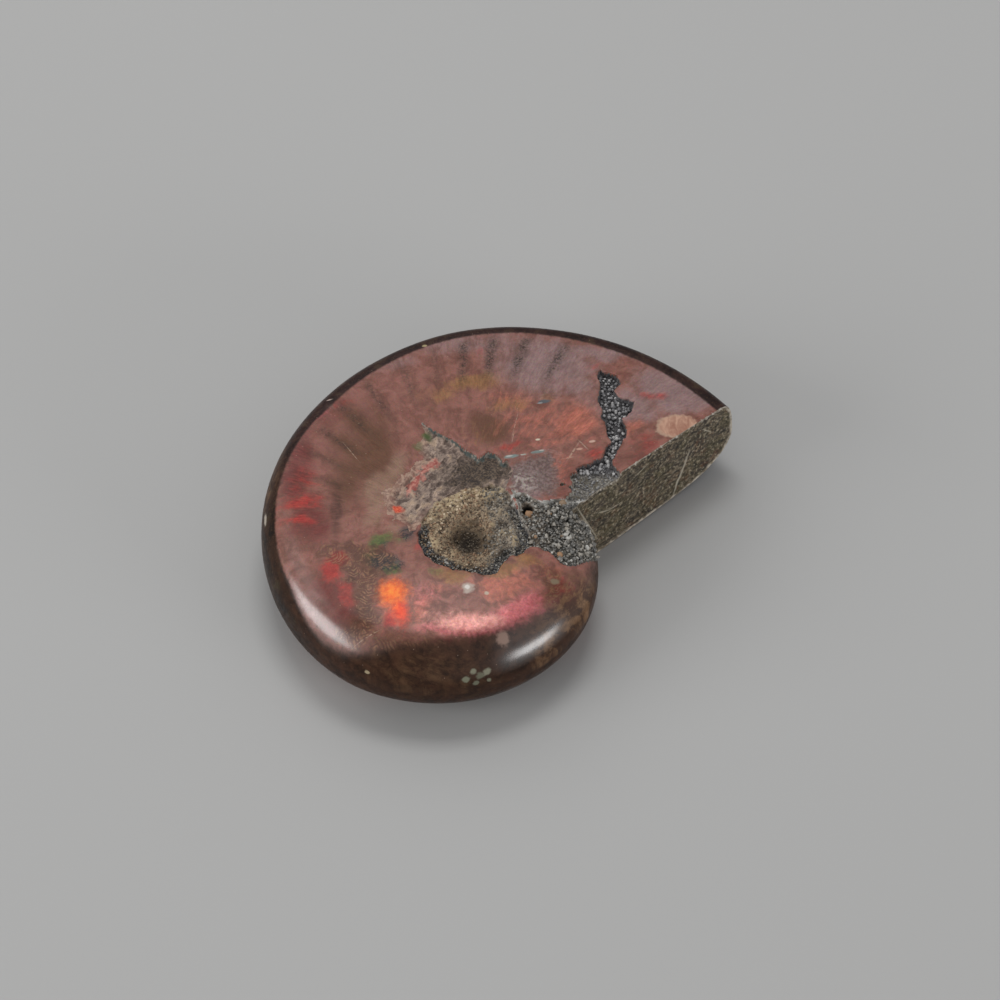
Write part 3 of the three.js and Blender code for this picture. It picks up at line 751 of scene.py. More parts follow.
# %% [markdown]
# ## Low ground, gloss and the cut
# Low places of the rough ground are painted darker, as painted shade, and high places lighter, as
# painted highlight. They are found with the same noise that made the relief, so the painted shade
# lies in the dips. The gloss is most on the shoulder, where the wheel pressed, and it comes and
# goes along the coil; the two long glints at the front need it. The flank has a little and the
# side of the rim has least.

# %% Low ground, gloss and the cut
SHINE = [(0, 0.5), (100, 0.25), (150, 0.2), (164, 0.6), (176, 1), (200, 1), (214, 0.3), (250, 0.3),
         (258, 1), (280, 1), (290, 0.35), (345, 0.35)]
GLOSS_START = [(0, 0.9), (150, 0.9), (195, -0.3), (345, -0.6)]     # mm in from the shoulder

zones = upper_zones(x, y)
fields |= {"in_" + name: np.where(side > 0, inside, -FAR) for name, inside in zones.items()}
fields["in_umbilicus"] = np.where(side > 0, zones["umbilicus"], lower_depth(x, y)[1])
# dips of the rough ground get painted shade, and tops a painted highlight
low = 0.75 * grit(x, y, 0.75, 52) + 0.4 * grit(x, y, 0.26, 55, 2)
low -= ridge(x, y, PLUG_CREST, 0.9, 0.45)
on_ledge = ramp(zones["ledge"], -0.1, 0.1) * (zones["umbilicus"] < 0.1)
low_on_ledge = 0.7 - 1.5 * folds(x, y) + 0.7 * grit(x, y, 0.26, 23)
up = np.abs(z) / flank_height(1, turn)
inside_line, above = 1 - ramp(rim_brown, -0.6, 1.6), ramp(up, 0.25, 0.5)
outer_line = inside_line + (above - inside_line) * ramp(turn, 205, 265)
on_shoulder = outer_line * ramp(along_coil(GLOSS_START) - from_edge, 0, 1.3)
gloss = np.maximum(on_shoulder * along_coil(SHINE), 0.07 * ramp(up, 0.6, 0.95) + 0.01)
cut_from_rim = np.full(len(points), FAR)
cut_from_rim[cut_no[:len(cut_loop)]] = 0
cut_from_rim[cut_within_no] = cut_from_edge
to_pit = x - PIT[0], y - PIT[1]
fields |= {"low": np.where(on_ledge > 0.5, low_on_ledge, low), "gloss": gloss,
           "step_line": distance_to_line(x, y, LEDGE_STEP),
           "coral_line": distance_to_line(x, y, CORAL_RIDGE),
           "pit_out": np.hypot(*to_pit), "pit_round": np.arctan2(to_pit[1], to_pit[0]),
           "saw_along": points[:, :2] @ ALONG_SAW, "saw_up": z, "from_rim": cut_from_rim}
print("numbers at each point:", len(fields))

# %% [markdown]
# ## Which face gets which finish
# A face is rough where its middle lies inside a hollow, and sawn where it belongs to the cut. A
# scrap of the sawn face beside the older turn is crusted with crystals too, so it counts as rough.

# %% Finishes of the faces
POLISH, HOLLOW, CUT = 0, 1, 2      # the order of the stone's materials
CRUST_END = 7.75                   # mm along the cut, measured on a slant

is_cut = np.arange(len(tris)) >= len(upper_faces) + len(lower_faces)
hollows = [fields["in_" + name] for name in ("umbilicus", "ledge", "crack", "pocket")]
hollow_here = np.maximum.reduce(hollows)
crusted = (fields["saw_along"] + 0.35 * z)[tris].mean(axis=1) < CRUST_END
tri_hollow = (hollow_here[tris].mean(axis=1) > 0) & (~is_cut | crusted)
quad_hollow = (hollow_here[quads].mean(axis=1) > 0) & (z[quads].mean(axis=1) > 0.2)
quad_finish = np.where(quad_hollow, HOLLOW, POLISH)
tri_finish = np.where(tri_hollow, HOLLOW, np.where(is_cut, CUT, POLISH))
face_finish = np.concatenate([quad_finish, tri_finish])
print("faces: polish", (face_finish == POLISH).sum(), "hollows", (face_finish == HOLLOW).sum(),
      "cut", (face_finish == CUT).sum())

# %% [markdown]
# ## A workbench for materials
# A material is a chain of nodes. Writing each node by hand takes many lines, so this small
# workbench has one short method for each kind of step: noise, a soft threshold, a mix of two
# colours, a spot. All places are in millimetres, so a noise of scale 2 has lumps half a
# millimetre wide. Colours are given as on a screen and turned into the linear values Blender
# wants.

# %% The workbench: nodes, sums and colours
def screen(red, green, blue):
    """A colour as seen on a screen, 0 to 255, as Blender's linear colour."""
    def linear(v):
        v /= 255
        return v / 12.92 if v <= 0.04045 else ((v + 0.055) / 1.055) ** 2.4
    return (linear(red), linear(green), linear(blue), 1)


class Bench:
    """A material that is built a step at a time; each step gives a socket for the next."""

    def __init__(self, name):
        self.material = bpy.data.materials.new(name)
        self.material.use_nodes = True
        self.nodes, self.links = self.material.node_tree.nodes, self.material.node_tree.links
        self.shader = self.nodes["Principled BSDF"]
        where = self.join("ShaderNodeTexCoord", {}, "Object")
        self.place = self.join("ShaderNodeVectorMath", {0: where, "Scale": 1000},
                               operation="SCALE")

    def join(self, kind, inputs, output=0, **settings):
        """Adds a node, feeds its inputs and gives one of its outputs."""
        node = self.nodes.new(kind)
        for name, value in settings.items():
            setattr(node, name, value)
        for name, value in inputs.items():
            self.feed(node.inputs[name], value)
        return node.outputs[output]

    def field(self, name):
        return self.join("ShaderNodeAttribute", {}, "Fac", attribute_name=name)

    def feed(self, socket, value):
        """A value is a number, an output of a node, or the name of a number on the mesh."""
        value = self.field(value) if isinstance(value, str) else value
        if isinstance(value, bpy.types.NodeSocket):
            self.links.new(value, socket)
        else:
            socket.default_value = value

    def math(self, how, a, b=0):
        return self.join("ShaderNodeMath", {0: a, 1: b}, operation=how)

    def plus(self, a, b):
        return self.math("ADD", a, b)

    def minus(self, a, b):
        return self.math("SUBTRACT", a, b)

    def times(self, a, b):
        return self.math("MULTIPLY", a, b)

    def band(self, value, low, high, start=0, end=1):
        """start below low, end above high, and a soft step between them."""
        return self.join("ShaderNodeMapRange", {
            "Value": value, "From Min": low, "From Max": high, "To Min": start,
            "To Max": end}, interpolation_type="SMOOTHSTEP")

    def blend(self, share, under, over, how="MIX"):
        """A mix of two colours; plain numbers are colours as seen on a screen."""
        under, over = (screen(*c) if isinstance(c, tuple) else c for c in (under, over))
        return self.join("ShaderNodeMix", {0: share, 6: under, 7: over}, 2,
                         data_type="RGBA", blend_type=how)

    def shades(self, value, low, high, one, other):
        """One colour below low, another above high."""
        return self.blend(self.band(value, low, high), one, other)

    def layers(self, colour, *steps):
        """Colours laid over each other. A step is a value, the two bounds between which its
        cover grows from nothing to the most, that most, and a colour."""
        for value, low, high, most, over in steps:
            colour = self.blend(self.band(value, low, high, 0, most), colour, over)
        return colour


# %% The workbench: places, noise and spots
class Finish(Bench):
    """The workbench with the steps that read a place on the stone."""

    def axis(self, name):
        return self.join("ShaderNodeSeparateXYZ", {0: self.place}, name)

    def flat(self, first, second):
        """Places in a plane of two of the mesh's numbers."""
        return self.join("ShaderNodeCombineXYZ", {0: first, 1: second})

    def noise(self, scale, detail=3, rough=0.55, bend=0, place=None, output="Fac"):
        return self.join("ShaderNodeTexNoise", {
            "Vector": place or self.place, "Scale": scale, "Detail": detail,
            "Roughness": rough, "Distortion": bend}, output)

    def streaky(self, scale, stretched=(1, 1, 1), detail=5, rough=0.6, bend=0.4,
                place=None):
        """Noise spread evenly over 0 to 1, drawn out along one direction."""
        drawn = self.join("ShaderNodeMapping", {"Vector": place or self.place, "Scale": stretched})
        return self.band(self.noise(scale, detail, rough, bend, drawn), 0.32, 0.68)

    def cells(self, scale, feature="F1", place=None):
        return self.join("ShaderNodeTexVoronoi", {"Vector": place or self.place, "Scale": scale},
                         "Distance", feature=feature)

    def grainy(self, scale, detail):
        """Sets the noise, from -0.5 to 0.5, that frays the edges of this finish."""
        self.grain = self.minus(self.noise(scale, detail), 0.5)

    def frayed(self, value, amount):
        return self.plus(value, self.times(self.grain, amount))

    def spot(self, at, size, tilt=0, ragged=0.3, soft=0.25, place=None):
        """A spot with half sizes in mm and a ragged edge, at a place from the pole. Without a
        height it reaches through the whole upper side."""
        through, flank = 4, 3.33
        deep = size[0] if len(at) > 2 else through
        centre = np.array([*at, flank])[:3] + POLE
        near = self.join("ShaderNodeMapping", {
            "Vector": place or self.place, "Location": (*at, 0) if place else centre.tolist(),
            "Rotation": (0, 0, radians(tilt)), "Scale": (*size, deep)}, vector_type="TEXTURE")
        far = self.join("ShaderNodeVectorMath", {0: near}, "Value", operation="LENGTH")
        return self.band(self.frayed(far, ragged), 1 + soft, 1 - soft)

    def bump(self, height, distance, strength=1, under=None):
        """Distance is the height of the bumps in mm."""
        inputs = {"Height": height, "Distance": distance * 0.001, "Strength": strength}
        if under:
            inputs["Normal"] = under
        return self.join("ShaderNodeBump", inputs)

    def finish(self, **sockets):
        for name, value in sockets.items():
            self.feed(self.shader.inputs[name.replace("_", " ").title()], value)
        return self.material


# %% [markdown]
# ## Polished shell: the ground and the fire
# Layers of colour go on one over the other: a rose-brown ground, rust and olive tones, ochre, a
# mauve haze that on the outer flank is painted sheen, the orange, rose and red fire, then slate
# and green. On the front crest a pale pink painted highlight goes on, and the rose beside it is
# partly the pink edge of that painted highlight. A patch number says how much of a place is
# covered, and streaky noise decides which parts of it, so that the borders fray into streaks. The
# streaks run outwards, as the ribs do, because the noise is read in places measured along and
# across the ribs. Past the ribs, at the front, plain clouds take their place.

# %% The colours of the fire
FIRE_COLOURS = [   # field, most cover, fraying, and two colours that hair-fine streaks mix
    ("rust", 0.95, 0.2, (98, 46, 42), (128, 64, 58)),
    ("olive", 0.9, 0.08, (96, 65, 46), (110, 75, 55)),
    ("ochre", 0.8, 0.24, (144, 102, 64), (168, 124, 82)),
    # mauve: partly the chalky patch's own colour, partly a painted sheen of the lamps
    ("mauve", 0.9, 0.12, (140, 113, 111), (160, 133, 130)),
    ("beige", 0.85, 0.06, (144, 112, 94), (160, 128, 108)),
    ("orange", 0.85, 0.24, (169, 96, 79), (206, 124, 103)),
    # rose: the shell's pink, and by the front crest partly the edge of a painted highlight
    ("rose", 0.9, 0.14, (182, 90, 96), (220, 128, 130)),
    # a painted highlight: the pale pink shine of the front crest
    ("pearl", 0.85, 0.14, (200, 132, 124), (228, 163, 153)),
    ("dusk", 0.9, 0.24, (44, 28, 23), (70, 42, 34)),
    ("red", 0.9, 0.2, (150, 46, 44), (196, 72, 62)),
    ("slate", 0.85, 0.24, (46, 48, 50), (92, 88, 84)),
    ("green", 0.85, 0.24, (60, 82, 44), (108, 122, 66)),
]


def shell_streaks(f):
    """Textures from 0 to 1: broad clouds, hair-fine streaks, and streaks turning to clouds."""
    ribwise = f.flat("rib_out", "rib_along")
    clouds = f.streaky(1.1, detail=6, rough=0.65, bend=0.8)
    hair = f.streaky(3.4, (0.5, 2.6, 1), 4, 0.7, 0.4, ribwise)
    hair = f.blend(f.band("ribbed", 0, 1, 0.8, 0), hair, f.streaky(2.4, rough=0.7))
    streaks = f.streaky(1, (0.6, 2.2, 1), place=ribwise)
    return clouds, hair, f.blend(f.band("ribbed", 0, 1, 0.8, 0.35), streaks, clouds)


def fire(f, clouds, hair, streaks):
    """The ground colour of the flank with its patches of fire."""
    colour = f.blend(clouds, (118, 78, 66), (153, 106, 94))
    colour = f.blend(f.times(hair, 0.35), colour, (160, 102, 92))
    for name, most, fray, one, other in FIRE_COLOURS:
        covered = f.plus(name, f.band(streaks, 0, 1, -fray, fray))
        covered = f.times(f.band(covered, 0.1, 0.95, 0, most), f.band(name, 0, 0.15))
        colour = f.blend(covered, colour, f.blend(hair, one, other))
    return colour


def glowing_patch(f, colour, hair):
    """The one patch that seems to burn, yellow above and red below, and where it is."""
    yellow = f.spot((-4.55, -5.3), (0.8, 0.75), 30, 1.3, 0.95)
    glow = f.math("MAXIMUM", yellow, f.spot((-4.1, -6.5), (0.48, 1), 14, 1.5, 0.95))
    colour = f.blend(glow, colour, f.blend(hair, (222, 46, 26), (248, 88, 40)))
    gold = f.blend(hair, (244, 112, 36), (255, 168, 56))
    return f.blend(f.times(yellow, 0.7), colour, gold), glow


# %% [markdown]
# ## Tufts of suture
# Where the polish reaches the walls between the chambers, their edges show as tan bristles beside
# a line, like the leaves of a fern. The way along the line plus a share of the distance from it,
# fed to a sine, gives bristles that slant away like the barbs of a feather. A soft noise bends
# them, and a rougher one leaves gaps between the tufts.

# %% Fern tufts and slate veins
def fern_tufts(f, period):
    """Bristles beside the suture lines, and how far they reach."""
    wobble = f.band(f.noise(1.3, 1), 0.3, 0.7, -0.5, 0.5)
    across = f.field("suture_across")
    slanted = f.plus("suture_along", f.times(across, 0.7))
    slanted = f.plus(slanted, f.times(wobble, 0.35))
    waves = f.math("SINE", f.times(slanted, 2 * pi / period))
    reach = f.band(f.plus(across, f.times(wobble, 0.7)), 0.9, 0.35)
    tufts = f.band(f.noise(2.4, 4, 0.7, 0.8), 0.4, 0.56)
    return f.times(f.times(f.band(waves, -0.9, 0.9), tufts), reach), reach


def with_sutures(f, colour, clouds):
    bristles, reach = fern_tufts(f, 0.28)
    colour = f.blend(f.times(reach, 0.5), colour, (78, 52, 42))
    tan_bristle = f.blend(clouds, (128, 88, 66), (170, 128, 98))
    colour = f.blend(f.times(bristles, 0.65), colour, tan_bristle)
    vein = f.band(f.math("ABSOLUTE", f.minus(f.noise(1.5, 3, 0.6), 0.5)), 0.05, 0.01)
    vein = f.times(vein, f.band("slate", 0.1, 0.6, 0, 0.8))
    return f.blend(vein, colour, (40, 42, 46))


# %% [markdown]
# ## Chalky patch and ribs
# Beside the umbilicus the shell lost its top layer, and what is left is chalky, lumpy and mauve.
# Its outline is known, so the colour follows the distance from it. The ribs are darker, speckled
# lines, partly the shell's colour and partly painted shade in their troughs, with a painted
# highlight on the swell between each two. Both come from numbers that the mesh carries.

# %% The chalky patch and the ribs
def with_chalky_patch(f, colour):
    chalk = f.band(f.frayed("in_mauve", 1.6), -0.1, 0.8, 0, 0.9)
    lumps = f.shades(f.noise(5, 4, 0.7), 0.42, 0.58, (100, 82, 79), (134, 114, 109))
    pale = f.times(f.spot((3.7, 3.3), (1.3, 0.9), 20, 1.5, 0.6),
                   f.band(f.noise(2.6, 3, 0.6), 0.45, 0.6))
    lumps = f.blend(pale, lumps, (176, 164, 156))
    shift = f.noise(1.4, 3, 0.5, output="Color")
    bent = f.join("ShaderNodeVectorMath", {0: f.place, 1: shift})
    split = f.band(f.cells(0.75, "DISTANCE_TO_EDGE", bent), 0.05, 0.01, 0, 0.35)
    split = f.times(split, f.band(f.noise(1.2), 0.45, 0.6))
    return f.blend(chalk, colour, f.blend(split, lumps, (74, 54, 46)))


def with_ribs(f, colour):
    mottle = f.band(f.noise(7, 4, 0.75), 0.44, 0.58)
    patchy = f.band(f.noise(2.2, 3, 0.6), 0.4, 0.56)
    dark = f.times("ribs", f.band(mottle, 0, 1, 0.45, 1))
    dark = f.times(dark, f.band(patchy, 0, 1, 0.6, 1))
    # painted highlight on the swells, then the dark rib lines, partly painted shade in the troughs
    colour = f.blend(f.times("rib_light", 0.6), colour, (156, 106, 98))
    return f.blend(dark, colour, (60, 52, 46))


# %% [markdown]
# ## The brown rim
# Under the rim's shoulder the outer shell is still there, dark chestnut brown. Towards the lip it
# is plain. At the front it is mottled, with amber flames painted where the light of the lamps gets
# into it, as painted light. The border with the fire is a number on the mesh, made ragged by the
# grain.

# %% Brown and amber
def with_brown_rim(f, colour):
    fibres = f.streaky(1.6, (0.5, 0.5, 0.5), 6, 0.75, 0.4)
    brown = f.blend(f.streaky(1.2, (0.6, 0.6, 1.2)), (24, 14, 9), (58, 37, 25))
    chestnut = f.blend(fibres, (30, 18, 16), (64, 41, 37))
    brown = f.blend("chestnut", brown, chestnut)
    brown = f.layers(brown, (f.noise(6, 3, 0.7), 0.56, 0.64, 0.5, (84, 64, 47)),
                     (fibres, 0.7, 1, 0.4, (76, 66, 44)))
    warm = f.band("ribbed", 0.6, 0, 0, 0.7)
    warm = f.times(f.band("rim_brown", 7, 1), warm)
    brown = f.blend(warm, brown, f.blend(f.streaky(1.6), (42, 27, 20), (82, 54, 40)))
    colour = f.shades(f.frayed("rim_brown", 1.6), -1, 1, colour, brown)
    # amber flames: painted light shining into the brown shell
    amber = f.field("amber")
    colour = f.blend(f.times(amber, 0.6), colour, (74, 50, 36))
    flames = f.streaky(1.6, (2, 0.7, 1), 5, 0.7, 0.3, f.flat("rib_out", "rib_along"))
    lit = f.times(amber, f.band(flames, 0.2, 1, 0, 0.75))
    return f.blend(lit, colour, f.blend(fibres, (112, 80, 52), (164, 126, 92)))


# %% [markdown]
# ## Flecks, scar and scratches
# The polish has small inclusions of grey and pale stone, a healed scar close to the saw cut, and
# a few scratches. Each is one spot with a place, two half sizes and a colour. Those on the steep
# rim have a height too, or they would be drawn out into long stripes down its side.

# %% Spots on the polish
FLECKS = [   # place, half sizes and colour
    ((0.42, -4.95), (0.4, 0.36), (182, 164, 152)), ((0.4, -4.9), (0.18, 0.16), (222, 214, 206)),
    ((1.64, -5.33), (0.14, 0.12), (190, 170, 150)), ((2.72, -8.4), (0.42, 0.42), (146, 118, 104)),
    ((6.15, -4.1), (0.28, 0.2), (136, 120, 98)),
    ((0.3, -10.62, 1.21), (0.24, 0.24), (130, 130, 110)),
    ((0.76, -10.32, 1.72), (0.21, 0.21), (138, 136, 116)),
    ((1.22, -10.39, 1.34), (0.26, 0.26), (112, 110, 92)),
    ((1.68, -10.19, 1.51), (0.25, 0.25), (142, 140, 120)),
    ((1.81, -10.37, 0.83), (0.15, 0.15), (124, 122, 104)),
    ((0.95, -10.6, 0.81), (0.19, 0.19), (116, 116, 98)),
    ((-13.14, 1.49, 2.16), (0.2, 0.45), (170, 160, 146)),
    ((-12.1, -5.02, 0.86), (0.3, 0.3), (112, 118, 102)),
    ((-11.75, -5.5, 0.86), (0.2, 0.2), (122, 124, 106)),
    ((-6.2, -9.88, 1.03), (0.16, 0.16), (176, 160, 130)),
    ((5.46, 10.22), (0.4, 0.15), (92, 94, 98)), ((5.2, 10.1), (0.2, 0.08), (150, 150, 150)),
    ((3.3, 5.6), (0.44, 0.13), (124, 138, 134)), ((3.15, 5.62), (0.2, 0.06), (190, 190, 184)),
    ((5.1, 6), (0.46, 0.1), (116, 126, 122)), ((5.3, 6.1), (0.16, 0.05), (176, 172, 162)),
    ((5.05, 7), (0.15, 0.08), (216, 204, 180)), ((4.1, 5.75), (0.2, 0.05), (170, 170, 160)),
    ((7.85, 6.25), (0.2, 0.1), (198, 156, 138)), ((8.7, 6.9), (0.2, 0.09), (206, 172, 154)),
    ((-2.6, 15.1), (0.16, 0.08), (176, 160, 120)), ((-9, 10.6), (0.2, 0.06), (180, 160, 150)),
]
SCRATCHES = [   # place, half sizes and tilt in degrees
    ((-7.4, 6), (0.9, 0.025), -56), ((3.55, 8.3), (1, 0.025), 78),
    ((7.4, 6), (0.8, 0.06), 62), ((8.1, 6.6), (0.5, 0.05), -50), ((7.1, 5.5), (0.4, 0.05), 15),
    ((-6.2, -8.4), (0.9, 0.03), 24), ((3.4, 7.2), (0.5, 0.02), 80)]


def with_spots(f, colour):
    for at, size, tint in FLECKS:
        colour = f.blend(f.spot(at, size, 10, 1.3, 0.35), colour, tint)
    colour = f.blend(f.spot((14.4, 8.3), (1.42, 1), 8, 0.5, 0.1), colour, (190, 160, 138))
    scar = f.blend(f.streaky(1.6, (1.6, 0.7, 1)), (168, 120, 100), (208, 166, 142))
    colour = f.blend(f.spot((14.5, 8.34), (1.34, 0.92), 8, 0.5, 0.16), colour, scar)
    for at, size, tilt in SCRATCHES:
        line = f.times(f.spot(at, size, tilt, 0.6, 0.5), f.band(f.noise(5), 0.3, 0.6, 0, 0.6))
        colour = f.blend(line, colour, (200, 172, 150))
    return f.layers(colour, (f.cells(1.7), 0.07, 0.02, 0.45, (206, 176, 154)))


# %% [markdown]
# ## The polish itself
# The polish is a clear coat over the colour. It is strongest on the shoulder, where the wheel
# worked hardest, so its weight is a number on the mesh. The crest of the front turn has a pale
# pink painted highlight in its colour, and a share of metal in the shader tints its highlight
# pink, as mother-of-pearl does. The burning patch gets a very faint painted glow of its own, from
# emission.

# %% The polished shell
def polished_shell():
    f = Finish("polished_shell")
    f.grainy(3.2, 4)
    clouds, hair, streaks = shell_streaks(f)
    colour, glow = glowing_patch(f, fire(f, clouds, hair, streaks), hair)
    colour = with_sutures(f, colour, clouds)
    colour = with_ribs(f, with_chalky_patch(f, colour))
    colour = f.blend(0.5, colour, f.band(streaks, 0, 1, 0.4, 0.58), "OVERLAY")
    colour = f.blend(0.45, colour, f.noise(11, 3, 0.7, output="Color"), "OVERLAY")
    colour = with_spots(f, with_brown_rim(f, colour))
    normal = f.bump(f.noise(1.1, 3, 0.5), 0.02, 0.5)
    normal = f.bump(f.noise(7, 3, 0.6), 0.004, 0.6, normal)
    coat = f.times("gloss", f.band(f.noise(1.5, 3), 0.2, 0.5, 0.8, 1))
    for name, value in (("IOR", 1.45), ("Specular IOR Level", 0.12), ("Coat Roughness", 0.25),
                        ("Coat IOR", 2), ("Emission Strength", 0.12)):
        f.shader.inputs[name].default_value = value
    pearly = f.math("MAXIMUM", "pearl", "rose")
    # the emission is a painted glow on the burning patch
    return f.finish(base_color=colour, roughness=f.band(f.grain, -0.2, 0.2, 0.36, 0.5),
                    coat_weight=coat, normal=normal, metallic=f.band(pearly, 0, 1, 0.05, 0.5),
                    emission_color=f.blend(glow, (0, 0, 0), (255, 96, 30)))


# %% [markdown]
# ## Rough hollows: sand of the umbilicus
# Unpolished stone is dull, so roughness is high and there is no coat. The umbilicus holds tan
# sand, greyer on its right. Low places are painted darker, as painted shade, and high places
# lighter, as painted highlight. A dark fibrous ring leads down into the pit, whose core is
# painted almost black, as painted shadow. Slate shows in the groove along its lower left.

# %% Sand and slate
def sand_ground(f, small, big):
    """Tan sand; small and big are two sizes of grit, from 0 to 1."""
    grey = f.shades(small, 0.4, 0.6, (90, 82, 73), (158, 147, 134))
    fibre = f.streaky(3, (2.2, 0.7, 1), 4, 0.65, 0.6, f.flat("pit_out", "pit_round"))
    sand = f.layers(
        f.shades(big, 0.35, 0.65, (112, 95, 80), (184, 162, 134)),
        (small, 0.45, 0.6, 0.7, (194, 174, 142)),
        (f.noise(9, 3, 0.6), 0.46, 0.36, 0.9, (40, 32, 25)),
        (f.axis("X"), -2, 0.8, 0.75, grey),
        # painted shade in the dips, painted highlight on the tops
        ("low", 0.15, 0.9, 0.7, (54, 42, 33)), ("low", -0.3, -1, 0.6, (200, 178, 140)),
        ("pit_out", 2.4, 1, 0.6, f.blend(fibre, (40, 28, 20), (162, 136, 104))),
        # the pit's core is painted almost black, as painted shadow
        ("pit_out", 1.5, 0.3, 0.9, (26, 18, 13)))
    groove = f.band(f.frayed("in_umbilicus", 0.5), 0.85, 0.6)
    low_left = f.band(f.minus(f.times(f.axis("X"), 0.25), f.axis("Y")), 1.5, 2.5)
    slate = f.shades(small, 0.42, 0.6, (44, 45, 50), (112, 112, 114))
    return f.blend(f.times(groove, low_left), sand, slate)


# %% [markdown]
# ## Rough hollows: layers of the ledge
# Shell breaks in sheets, so the ledge is a stack of thin violet-grey veils, drawn out along their
# edges. Its left side is worn and rosy and its right side is fibrous and dark. A ridge of coral
# red, a spark of orange and a touch of green are what is left of the fire on it.

# %% The broken ledge
def ledge_layers(f, small, big):
    edges = f.join("ShaderNodeMapping", {"Vector": f.place, "Rotation": (0, 0, radians(-50))})
    veils = f.streaky(1.6, (0.9, 2.4, 1), 4, 0.6, 1.2, edges)
    ledge = f.layers(
        f.blend(veils, (116, 98, 90), (188, 165, 149)), (small, 0.5, 0.62, 0.4, (184, 170, 156)),
        # painted shade in the dips of the ledge, painted highlight on its folds
        ("low", 0.1, 0.8, 0.65, (74, 57, 51)), ("low", 0, -0.8, 0.6, (204, 176, 148)))
    worn = f.times(f.band(f.frayed("in_ledge", 1.2), 1.1, 0.1),
                   f.band(f.axis("X"), -4.2, -5.4, 0, 0.75))
    ledge = f.blend(worn, ledge, f.shades(big, 0.4, 0.6, (146, 104, 90), (196, 160, 140)))
    fibrous = f.times(f.spot((1.1, 4.5), (2.3, 1.4), 20, 1.6, 0.6), 0.9)
    ledge = f.blend(fibrous, ledge, f.shades(small, 0.44, 0.6, (38, 31, 27), (112, 96, 80)))
    ledge = f.layers(ledge, (f.noise(8, 3, 0.7), 0.42, 0.34, 0.7, (40, 33, 30)))
    ledge = f.blend("green", ledge, (86, 100, 60))
    coral = f.shades(big, 0.4, 0.6, (176, 84, 76), (216, 150, 134))
    ledge = f.layers(ledge, (f.frayed("coral_line", 1.6), 0.42, 0.1, 0.8, coral))
    spark = f.shades(small, 0.4, 0.6, (214, 62, 44), (244, 130, 92))
    ledge = f.blend(f.spot((-4.25, 1.37), (0.34, 0.26), -20, 2, 0.5), ledge, spark)
    step = f.shades(f.noise(3), 0.5, 0.62, (88, 96, 92), (160, 156, 146))
    return f.layers(ledge, (f.frayed("step_line", 0.6), 0.24, 0.08, 1, step))


# %% [markdown]
# ## Rough hollows: under the crystals
# The crack is slate between its crystals and crumbly grey at its foot. The pocket is dark
# grey-green, and tan on its left. Along the pocket's upper edge the shell shows in section as
# white shards, and one pale vein runs down between the pocket and the sand. One function puts the
# grounds together: the distance numbers of the hollows choose between them.

# %% Grounds of the crack and the pocket, and all the hollows together
def crack_ground(f, small, big):
    crack = f.shades(small, 0.38, 0.62, (52, 50, 53), (106, 104, 105))
    foot = f.layers(f.shades(small, 0.4, 0.6, (74, 70, 64), (158, 153, 144)),
                    (big, 0.5, 0.62, 0.6, (92, 84, 66)))
    return f.shades(f.axis("Y"), 1.6, 0.6, crack, foot)


def pocket_ground(f, small, big):
    left = f.shades(small, 0.4, 0.6, (70, 62, 54), (132, 120, 106))
    return f.layers(f.shades(big, 0.4, 0.62, (52, 50, 46), (100, 96, 88)),
                    (small, 0.52, 0.66, 1, (140, 136, 126)),
                    (f.axis("X"), 3.8, 2.4, 1, left))


def with_shell_edges(f, colour):
    """White shards of shell along the pocket, the pale vein, and painted shadow in the hole."""
    vein = f.times(f.spot((3.75, 1.4), (2, 0.1), -70, 0.9, 0.4), 0.8)
    colour = f.blend(vein, colour, (182, 174, 164))
    from_edge = f.math("ABSOLUTE", f.minus(f.frayed("in_pocket", 0.3), 0.08))
    broken = f.band(f.noise(1.6, 3, 0.6), 0.42, 0.56, 0.15, 1)
    shards = f.times(f.band(from_edge, 0.32, 0.14), broken)
    shards = f.times(shards, f.band(f.axis("Y"), -1.75, -1.45))
    colour = f.blend(shards, colour, (204, 202, 196))
    # the hole is painted black, as painted shadow
    return f.blend(f.spot(HOLE, (0.34, 0.3)), colour, (14, 11, 9))


def rough_hollows():
    f = Finish("rough_hollows")
    f.grainy(3, 3)
    small, big = f.noise(7.5, 4, 0.7), f.noise(2.2, 4, 0.6, 0.8)
    colour = sand = sand_ground(f, small, big)
    for name, ground in (("in_ledge", ledge_layers), ("in_crack", crack_ground),
                         ("in_pocket", pocket_ground)):
        colour = f.shades(name, -0.05, 0.02, colour, ground(f, small, big))
    colour = f.shades(f.frayed("in_umbilicus", 0.25), -0.02, 0.08, colour, sand)
    colour = with_shell_edges(f, colour)
    normal = f.bump(small, 0.05, 0.9, f.bump(big, 0.08, 0.5))
    return f.finish(base_color=colour, roughness=f.band(small, 0.3, 0.7, 0.62, 0.95),
                    normal=normal)


# %% [markdown]
# ## Sawn face
# The blade left slanting lines, dull and grey-brown, with olive and rusty tints. The mesh has
# real steps; the material adds the finest lines in the same slant, a pale line of shell along
# the border, a gouge and a few bright scratches.

# %% The sawn face
CUT_MARKS = [   # place along the cut and up, half sizes and tilt; first a gouge, then scratches
    ((16.35, -1.1), (0.1, 1.9), -21), ((16, -1.9), (0.05, 0.9), -21),
    ((9.5, 0.45), (0.5, 0.06), -28), ((10.4, 0.2), (0.5, 0.05), -4),
    ((12.8, 2.2), (0.6, 0.04), 20), ((18.6, 1.6), (0.7, 0.04), -50),
    ((7.95, 0.6), (0.05, 2.6), 19)]


